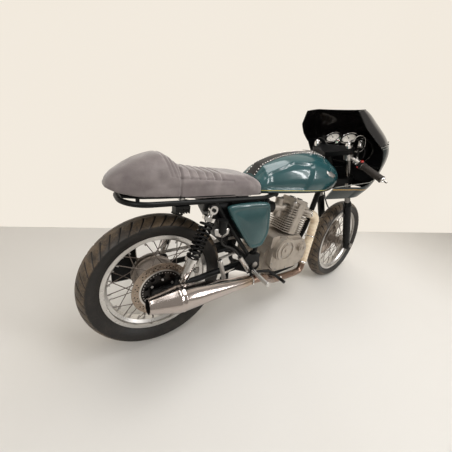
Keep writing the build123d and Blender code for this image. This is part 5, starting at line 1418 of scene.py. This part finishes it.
# ------------------------------------------------------------------ bars
@dataclass
class Bars(Maker):
    """Ribbed grips, bar ends, switches, bolts, cables and fork caps."""

    body = Body.FORK
    level: float = 0.716
    spread: float = 0.100
    droop: float = math.radians(23.0)
    sweep: float = math.radians(11.0)

    def leg(self, t: float, side: float, ahead: float = 0.0) -> np.ndarray:
        """Point t up the fork leg line from the axle, with the bars straight."""
        return vec((WHEELBASE, side, FRONT_R)) + STEER_UP * t + STEER_AHEAD * ahead

    def turn(self, name: str, centre: Point, axis: Point, *args: object) -> None:
        """Adds a surface of revolution whose centre and axis are given with the bars straight."""
        super().turn(name, self.bike.steered(centre), self.bike.turned(axis), *args)

    def build(self) -> None:
        """Adds everything."""
        for side, name in ((1, "left"), (-1, "right")):
            self.half(side, name)
        stops = [(0.700, 0.172, 0.022), (0.735, 0.168, 0.046), (0.785, 0.135, 0.054), (0.790, 0.095, 0.046),
                 (0.768, 0.066, 0.034), (0.752, 0.054, 0.024)]
        cables = []
        for side in (-1, 1):
            line = smooth_line([self.leg(t, side * y, ahead) for t, y, ahead in stops], 10)
            cables.append(tube(self.bike.steered(line), 2.8))
        self.add("bar_cables", join(cables), "rubber", "hose_rubber")
        self.wiring()

    def half(self, side: int, name: str) -> None:
        """One clip-on's grip, end, switch pod with a red cap and button, bolts, and the fork cap."""
        flat = math.cos(self.droop)
        way = vec((-math.sin(self.sweep) * flat, side * math.cos(self.sweep) * flat, -math.sin(self.droop)))
        root = self.leg(self.level, side * self.spread)
        upright, level = (unit(v - way * (v @ way)) for v in (STEER_UP, STEER_AHEAD))
        back = unit(-level - upright * 0.4)
        ribs = [(128 + 5.2 * i + dt, r) for i in range(22)
                for dt, r in ((0, 16.4), (1.2, 17.8), (3.6, 17.8), (4.6, 16.4))]
        grip = [(118, 15), (118, 20.5), (121, 21), (124, 19.5), (126, 17), *ribs, (243, 17), (245, 19.2),
                (248.5, 19.2), (249, 15)]
        end = [(248, 13.5), (250, 14), (256, 13.5), (258, 11.5), (258, 6), (253, 5.5), (253, 0)]
        pod = [(90, 12), (91, 20), (94, 22.2), (108, 22.2), (111, 20), (112.5, 12)]
        button = [(0, 8.5), (6.5, 8.5), (8.5, 6.5), (9, 0)]
        knob = [(0, 5), (6, 5), (7.5, 3.5), (7.5, 0)]
        knob_finish = "satin_black" if side > 0 else "red_paint"
        for part, at, axis, rows, finish, slot, sides in (
                ("grip_sleeve", root, way, grip, "grip_rubber", "grip_rubber", 40),
                ("bar_end", root, way, end, "chrome", "polished_metal", 32),
                ("switch_pod", root, way, pod, "satin_black", "black_metal", 36),
                ("switch_cap", root + way * 0.101 + upright * 0.019, upright, button, "red_paint",
                 "black_metal", 20),
                ("switch_knob", root + way * 0.098 + back * 0.019, back, knob, knob_finish, "black_metal",
                 16)):
            self.turn(f"{name}_{part}", at, axis, rows, finish, slot, sides)
        places = [(self.leg(self.level + t, side * (self.spread + 0.008), -0.026), STEER_AHEAD, 4.8)
                  for t in (-0.010, 0.010)]
        places += [(root + way * t - level * 0.0165, level, 4.2) for t in (0.062, 0.080)]
        bolts = [bolt(self.bike.steered(at), self.bike.turned(-axis), r, 5) for at, axis, r in places]
        self.add(f"{name}_clamp_bolts", join(bolts), "chrome", "polished_metal")
        cap = [(-20, 19.5), (-4, 20), (0, 19.5), (2, 17), (10, 16.5), (12, 14), (12, 7.5), (8, 7), (8, 0)]
        self.turn(f"{name}_fork_cap", self.leg(0.786, side * self.spread), STEER_UP, cap, "chrome",
                  "polished_metal", 32)

    def wiring(self) -> None:
        """Wire loop in white enamel, a painted highlight standing in for the glint of its steel, a bright can
        beside the right dial, and a black shield before the lower yoke.
        """
        loop = [(1.070, -0.118, 1.030), (1.078, -0.122, 1.056), (1.118, -0.125, 1.068),
                (1.168, -0.125, 1.054), (1.186, -0.125, 1.020), (1.170, -0.124, 0.988),
                (1.120, -0.120, 0.980), (1.080, -0.110, 0.990)]
        # painted highlight: the steel wire loop is given white enamel so that it reads bright
        self.add("wire_loop", tube(self.bike.at(smooth_line(loop)), 1.7), "white_enamel", "polished_metal")
        can = [(0, 0), (0, 15), (3, 16.5), (30, 16.5), (32, 17.5), (36, 17.5), (38, 15), (38, 0)]
        foot, way = self.bike.at((1.146, -0.122, 1.004)), self.bike.way((0.35, 0.25, 0.9))
        super().turn("signal_can", foot, way, can, "satin_alloy", "polished_metal", 32)
        c, s = (np.sign(v) * np.abs(v) ** 0.4 for v in (np.cos(circle(40)), np.sin(circle(40))))
        rings = [[self.leg(0.478 + t, y, ahead) for t, y in zip(0.048 * k * s, 0.064 * k * c)]
                 for k, ahead in ((0.0, 0.046), (0.97, 0.046), (1.0, 0.0475), (1.0, 0.0505), (0.97, 0.052),
                                  (0.0, 0.052))]
        self.add("yoke_shield", grid(self.bike.steered(np.array(rings))), "satin_black", "black_metal")


# ------------------------------------------------------------------ cockpit
@dataclass
class Cockpit(Maker):
    """Two white dials with ticks, numbers and needles, and the lamps between them."""

    body = Body.FORK
    middle: tuple[float, float, float] = (1.1419, 0.0, 1.0456)
    spacing: float = 0.051
    radius: float = 48.0
    face: tuple[float, float, float] = (-0.66, 0.0, 0.75)
    dial_start: float = 225.0
    dial_sweep: float = 270.0
    needle: float = 222.0
    number_ring: float = 0.0232

    def __post_init__(self) -> None:
        self.out = unit(self.bike.turned(unit(self.face)))
        self.across = self.bike.fork_left
        self.rise = np.cross(self.out, self.across)

    def radial(self, degrees: float) -> np.ndarray:
        """Direction on a dial's face, anticlockwise from the rider's right."""
        a = math.radians(degrees)
        return self.across * -math.cos(a) + self.rise * math.sin(a)

    def bar(self, base: np.ndarray, way: np.ndarray, near: Point, far: Point) -> Mesh:
        """Flat bar along way; near and far are (distance, half width) in millimetres."""
        turn = np.cross(self.out, way)
        corners = [base + (way * r + turn * half * side) / 1000
                   for r, half, side in ((*near, -1), (*near, 1), (*far, 1), (*far, -1))]
        return np.array(corners), np.array([[0, 1, 2, 3]])

    def build(self) -> None:
        """Adds both dials and the lamps."""
        middle = vec(self.middle)
        self.dial("left", self.bike.steered(middle + (0.0, self.spacing, 0.0)), 20)
        self.dial("right", self.bike.steered(middle - (0.0, self.spacing, 0.0)), 1)
        ring = [(-2, 8.5), (1.5, 8.5), (2, 7), (1, 6.2)]
        lens = [(0.6, 6.4), (3, 5.2), (4.2, 3), (4.6, 0)]
        for y, colour, name in ((0.006, "green", "turn"), (0.024, "red", "oil"), (0.042, "green", "beam")):
            at = self.bike.steered(middle) + self.rise * y
            self.turn(f"{name}_lamp_ring", at, self.out, ring, "chrome", "gauge_faces", 20)
            self.turn(f"{name}_lamp_lens", at, self.out, lens, f"{colour}_lens", "gauge_faces", 20)

    def dial(self, name: str, centre: np.ndarray, unit_step: int) -> None:
        """One dial, numbered from 0 to 8 steps."""
        r, out = self.radius, self.out
        bezel = [(0.5, r + 1.2), (4, r + 1.2), (5.4, r + 0.2), (5.4, r - 1), (4.4, r - 2.2), (3, r - 2.4)]
        self.turn(f"{name}_bezel", centre, out, bezel, "chrome", "gauge_faces", 56)
        band = [(3.6, r - 2.2), (3, r - 7.5), (1.8, r - 11.8)]
        self.turn(f"{name}_dial_band", centre, out, band, "gloss_black", "gauge_faces")
        self.turn(f"{name}_dial", centre, out, [(1.7, r - 11.6), (1.8, 0)], "white_enamel", "gauge_faces")
        ticks = []
        for i in range(33):
            start, half = (32.2, 0.4) if i % 4 else (28.5, 0.8)
            way = self.radial(self.dial_start - self.dial_sweep * i / 32)
            ticks.append(self.bar(centre + out * 0.0022, way, (start, half), (35.2, half)))
        ticks.append(self.bar(centre + out * 0.0035, self.radial(self.needle), (-7, 1.4), (31, 0.4)))
        ticks.append(lathe(centre, out, [(2, 3.6), (5, 3.6), (6, 2), (6, 0)], 16))
        self.add(f"{name}_ticks", join(ticks), "dial_black", "gauge_faces")
        for i in range(9):
            way = self.radial(self.dial_start - self.dial_sweep * i / 8)
            at = centre + way * self.number_ring + out * 0.0023
            self.number(f"{name}_number_{i}", str(i * unit_step), at)

    def number(self, name: str, text: str, at: np.ndarray) -> None:
        """Adds one number on a dial as a flat mesh."""
        curve = bpy.data.curves.new(name, "FONT")
        curve.body = text
        curve.size = 0.0068
        curve.align_x, curve.align_y = "CENTER", "CENTER"
        curve.fill_mode = "FRONT"
        maker = bpy.data.objects.new(name + "_text", curve)
        bpy.context.scene.collection.objects.link(maker)
        mesh = bpy.data.meshes.new_from_object(maker.evaluated_get(bpy.context.evaluated_depsgraph_get()))
        bpy.data.objects.remove(maker)
        bpy.data.curves.remove(curve)
        axes = Matrix((Vector(-self.across), Vector(self.rise), Vector(self.out)))
        mesh.transform(axes.transposed().to_4x4())
        mesh.transform(Matrix.Translation(Vector(at)))
        self.shop.adopt(name, mesh, "dial_black", self.body, "gauge_faces")


# ------------------------------------------------------------------ studio
@dataclass
class Studio:
    """Floor, wall, lights and camera; angles in degrees."""

    bike: Bike
    eye: tuple[float, float, float] = (-0.290, -0.913, 1.009)
    yaw: float = 54.71
    pitch: float = -22.129
    roll: float = 7.319
    sensor: float = 36.0
    lens: float = 235.0 / 452.0 * 36.0
    wall_foot: tuple[float, float, float] = (0.230, 0.711, 0.0)
    wall_slope: float = -0.2612
    # name, place, aim, size, power
    panels: Sequence[tuple] = (("top_panel", (0.2, 0.0, 3.0), (0.1, 0.0, 0.4), (2.6, 1.4), 62.0),
                               ("right_tube", (1.7, -2.6, 2.2), (0.2, 0.0, 0.7), (0.14, 1.9), 22.0),
                               ("right_tube_far", (2.1, -2.4, 2.2), (0.2, 0.0, 0.7), (0.14, 1.9), 18.0),
                               ("rear_panel", (-2.8, -1.4, 2.4), (0.0, 0.0, 0.5), (1.2, 1.2), 26.0))

    def build(self) -> None:
        """Adds a plain pale floor, a cream wall that is seen from its front only, and the rest."""
        points = np.array([[(x, y, 0.0) for y in (-14.0, 14.0)] for x in (-14.0, 14.0)])
        graph = Graph("floor")
        tone = graph.mix(graph.noise(0.9), (0.665, 0.645, 0.61), (0.72, 0.705, 0.68))
        graph.set(Base_Color=tone, Roughness=0.7)
        self.sheet("floor", points, graph.material)
        foot, way = vec(self.wall_foot), unit((1.0, self.wall_slope, 0.0))
        points = np.array([[foot + way * t + (0, 0, z) for z in (0.0, 7.0)] for t in (9.0, -9.0)])
        self.sheet("wall", points, self.wall_paint())
        self.room()
        self.lights()
        self.camera()

    def sheet(self, name: str, points: np.ndarray, material: bpy.types.Material) -> None:
        """Flat stage piece over a grid of points."""
        verts, faces = grid(points, False, False)
        mesh = bpy.data.meshes.new(name)
        mesh.from_pydata(verts.tolist(), [], faces[:, ::-1].tolist())
        mesh.materials.append(material)
        self.link(name, mesh)

    @staticmethod
    def link(name: str, data: bpy.types.ID) -> bpy.types.Object:
        """New object in the scene."""
        obj = bpy.data.objects.new(name, data)
        bpy.context.scene.collection.objects.link(obj)
        return obj

    def wall_paint(self) -> bpy.types.Material:
        """Cream to the camera and to polished metal, plain paint to other light, clear from behind."""
        graph = Graph("wall")
        tone = graph.mix(graph.noise(0.5, 2.0), (0.87, 0.80, 0.70), (0.91, 0.85, 0.76))
        graph.set(Base_Color=tone, Roughness=0.9)
        glow = graph.add("ShaderNodeEmission", {"Color": tone}).outputs[0]
        rays = graph.add("ShaderNodeLightPath").outputs
        seen = Sock(graph, rays["Is Camera Ray"])
        for kind in ("Is Glossy Ray", "Is Transmission Ray"):
            seen = seen.node("ADD", rays[kind], clamp=True)
        front = graph.add("ShaderNodeMixShader", {0: seen, 1: graph.shader.outputs[0], 2: glow}).outputs[0]
        behind = graph.add("ShaderNodeNewGeometry").outputs["Backfacing"]
        clear = graph.add("ShaderNodeBsdfTransparent").outputs[0]
        either = graph.add("ShaderNodeMixShader", {0: behind, 1: front, 2: clear}).outputs[0]
        graph.feed(graph.output.inputs["Surface"], either)
        return graph.material

    @staticmethod
    def room() -> None:
        """Pale room light, with a cream backdrop to the camera."""
        world = bpy.data.worlds.new("room")
        world.use_nodes = True
        tree = world.node_tree
        back = tree.nodes["Background"]
        back.inputs["Color"].default_value = (0.78, 0.74, 0.68, 1.0)
        back.inputs["Strength"].default_value = 0.50
        kinds = ("Background", "LightPath", "MixShader")
        seen, rays, mix = (tree.nodes.new(f"ShaderNode{kind}") for kind in kinds)
        seen.inputs["Color"].default_value = (0.90, 0.83, 0.74, 1.0)
        for i, source in enumerate((rays.outputs["Is Camera Ray"], back.outputs[0], seen.outputs[0])):
            tree.links.new(source, mix.inputs[i])
        output = next(n for n in tree.nodes if n.type == "OUTPUT_WORLD")
        tree.links.new(mix.outputs[0], output.inputs["Surface"])
        bpy.context.scene.world = world

    def lights(self) -> None:
        """A broad panel overhead, one behind and two narrow ones on the right."""
        for name, at, aim, size, power in self.panels:
            light = bpy.data.lights.new(name, "AREA")
            light.shape = "RECTANGLE"
            light.size, light.size_y = size
            light.energy = power
            obj = self.link(name, light)
            obj.location = at
            obj.rotation_euler = (Vector(aim) - Vector(at)).to_track_quat("-Z", "Y").to_euler()

    def camera(self) -> None:
        """Camera beside the upright machine."""
        yaw, pitch, roll = (math.radians(v) for v in (self.yaw, self.pitch, self.roll))
        ahead = vec((math.cos(pitch) * math.cos(yaw), math.cos(pitch) * math.sin(yaw), math.sin(pitch)))
        right = vec((math.sin(yaw), -math.cos(yaw), 0.0))
        up = np.cross(right, ahead)
        right, up = math.cos(roll) * right + math.sin(roll) * up, math.cos(roll) * up - math.sin(roll) * right
        data = bpy.data.cameras.new("camera")
        data.lens = self.lens
        data.sensor_width = self.sensor
        data.clip_end = 60.0
        obj = self.link("camera", data)
        columns = [*(self.bike.way(v) for v in (right, up, -ahead)), self.bike.at(self.eye)]
        obj.matrix_world = Matrix([*np.stack(columns, axis=1).tolist(), [0, 0, 0, 1]])
        bpy.context.scene.camera = obj


def main() -> None:
    """Dresses the frame."""
    logging.basicConfig(level=logging.INFO, format="%(message)s")
    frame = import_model()
    shop = Workshop(frame)
    shop.paint_nodes()
    makers = [kind(shop, end) for kind in (Tyre, WheelTrim) for end in ("front", "rear")]
    kinds = (Chain, Exhaust, EngineTrim, Covers, Tank, Fairing, Bars, Seat, Cockpit)
    makers += [kind(shop) for kind in kinds]
    for maker in (*makers, Studio(shop.bike)):
        maker.build()
    bpy.context.scene.view_settings.view_transform = "Standard"


if __name__ == "__main__":
    main()
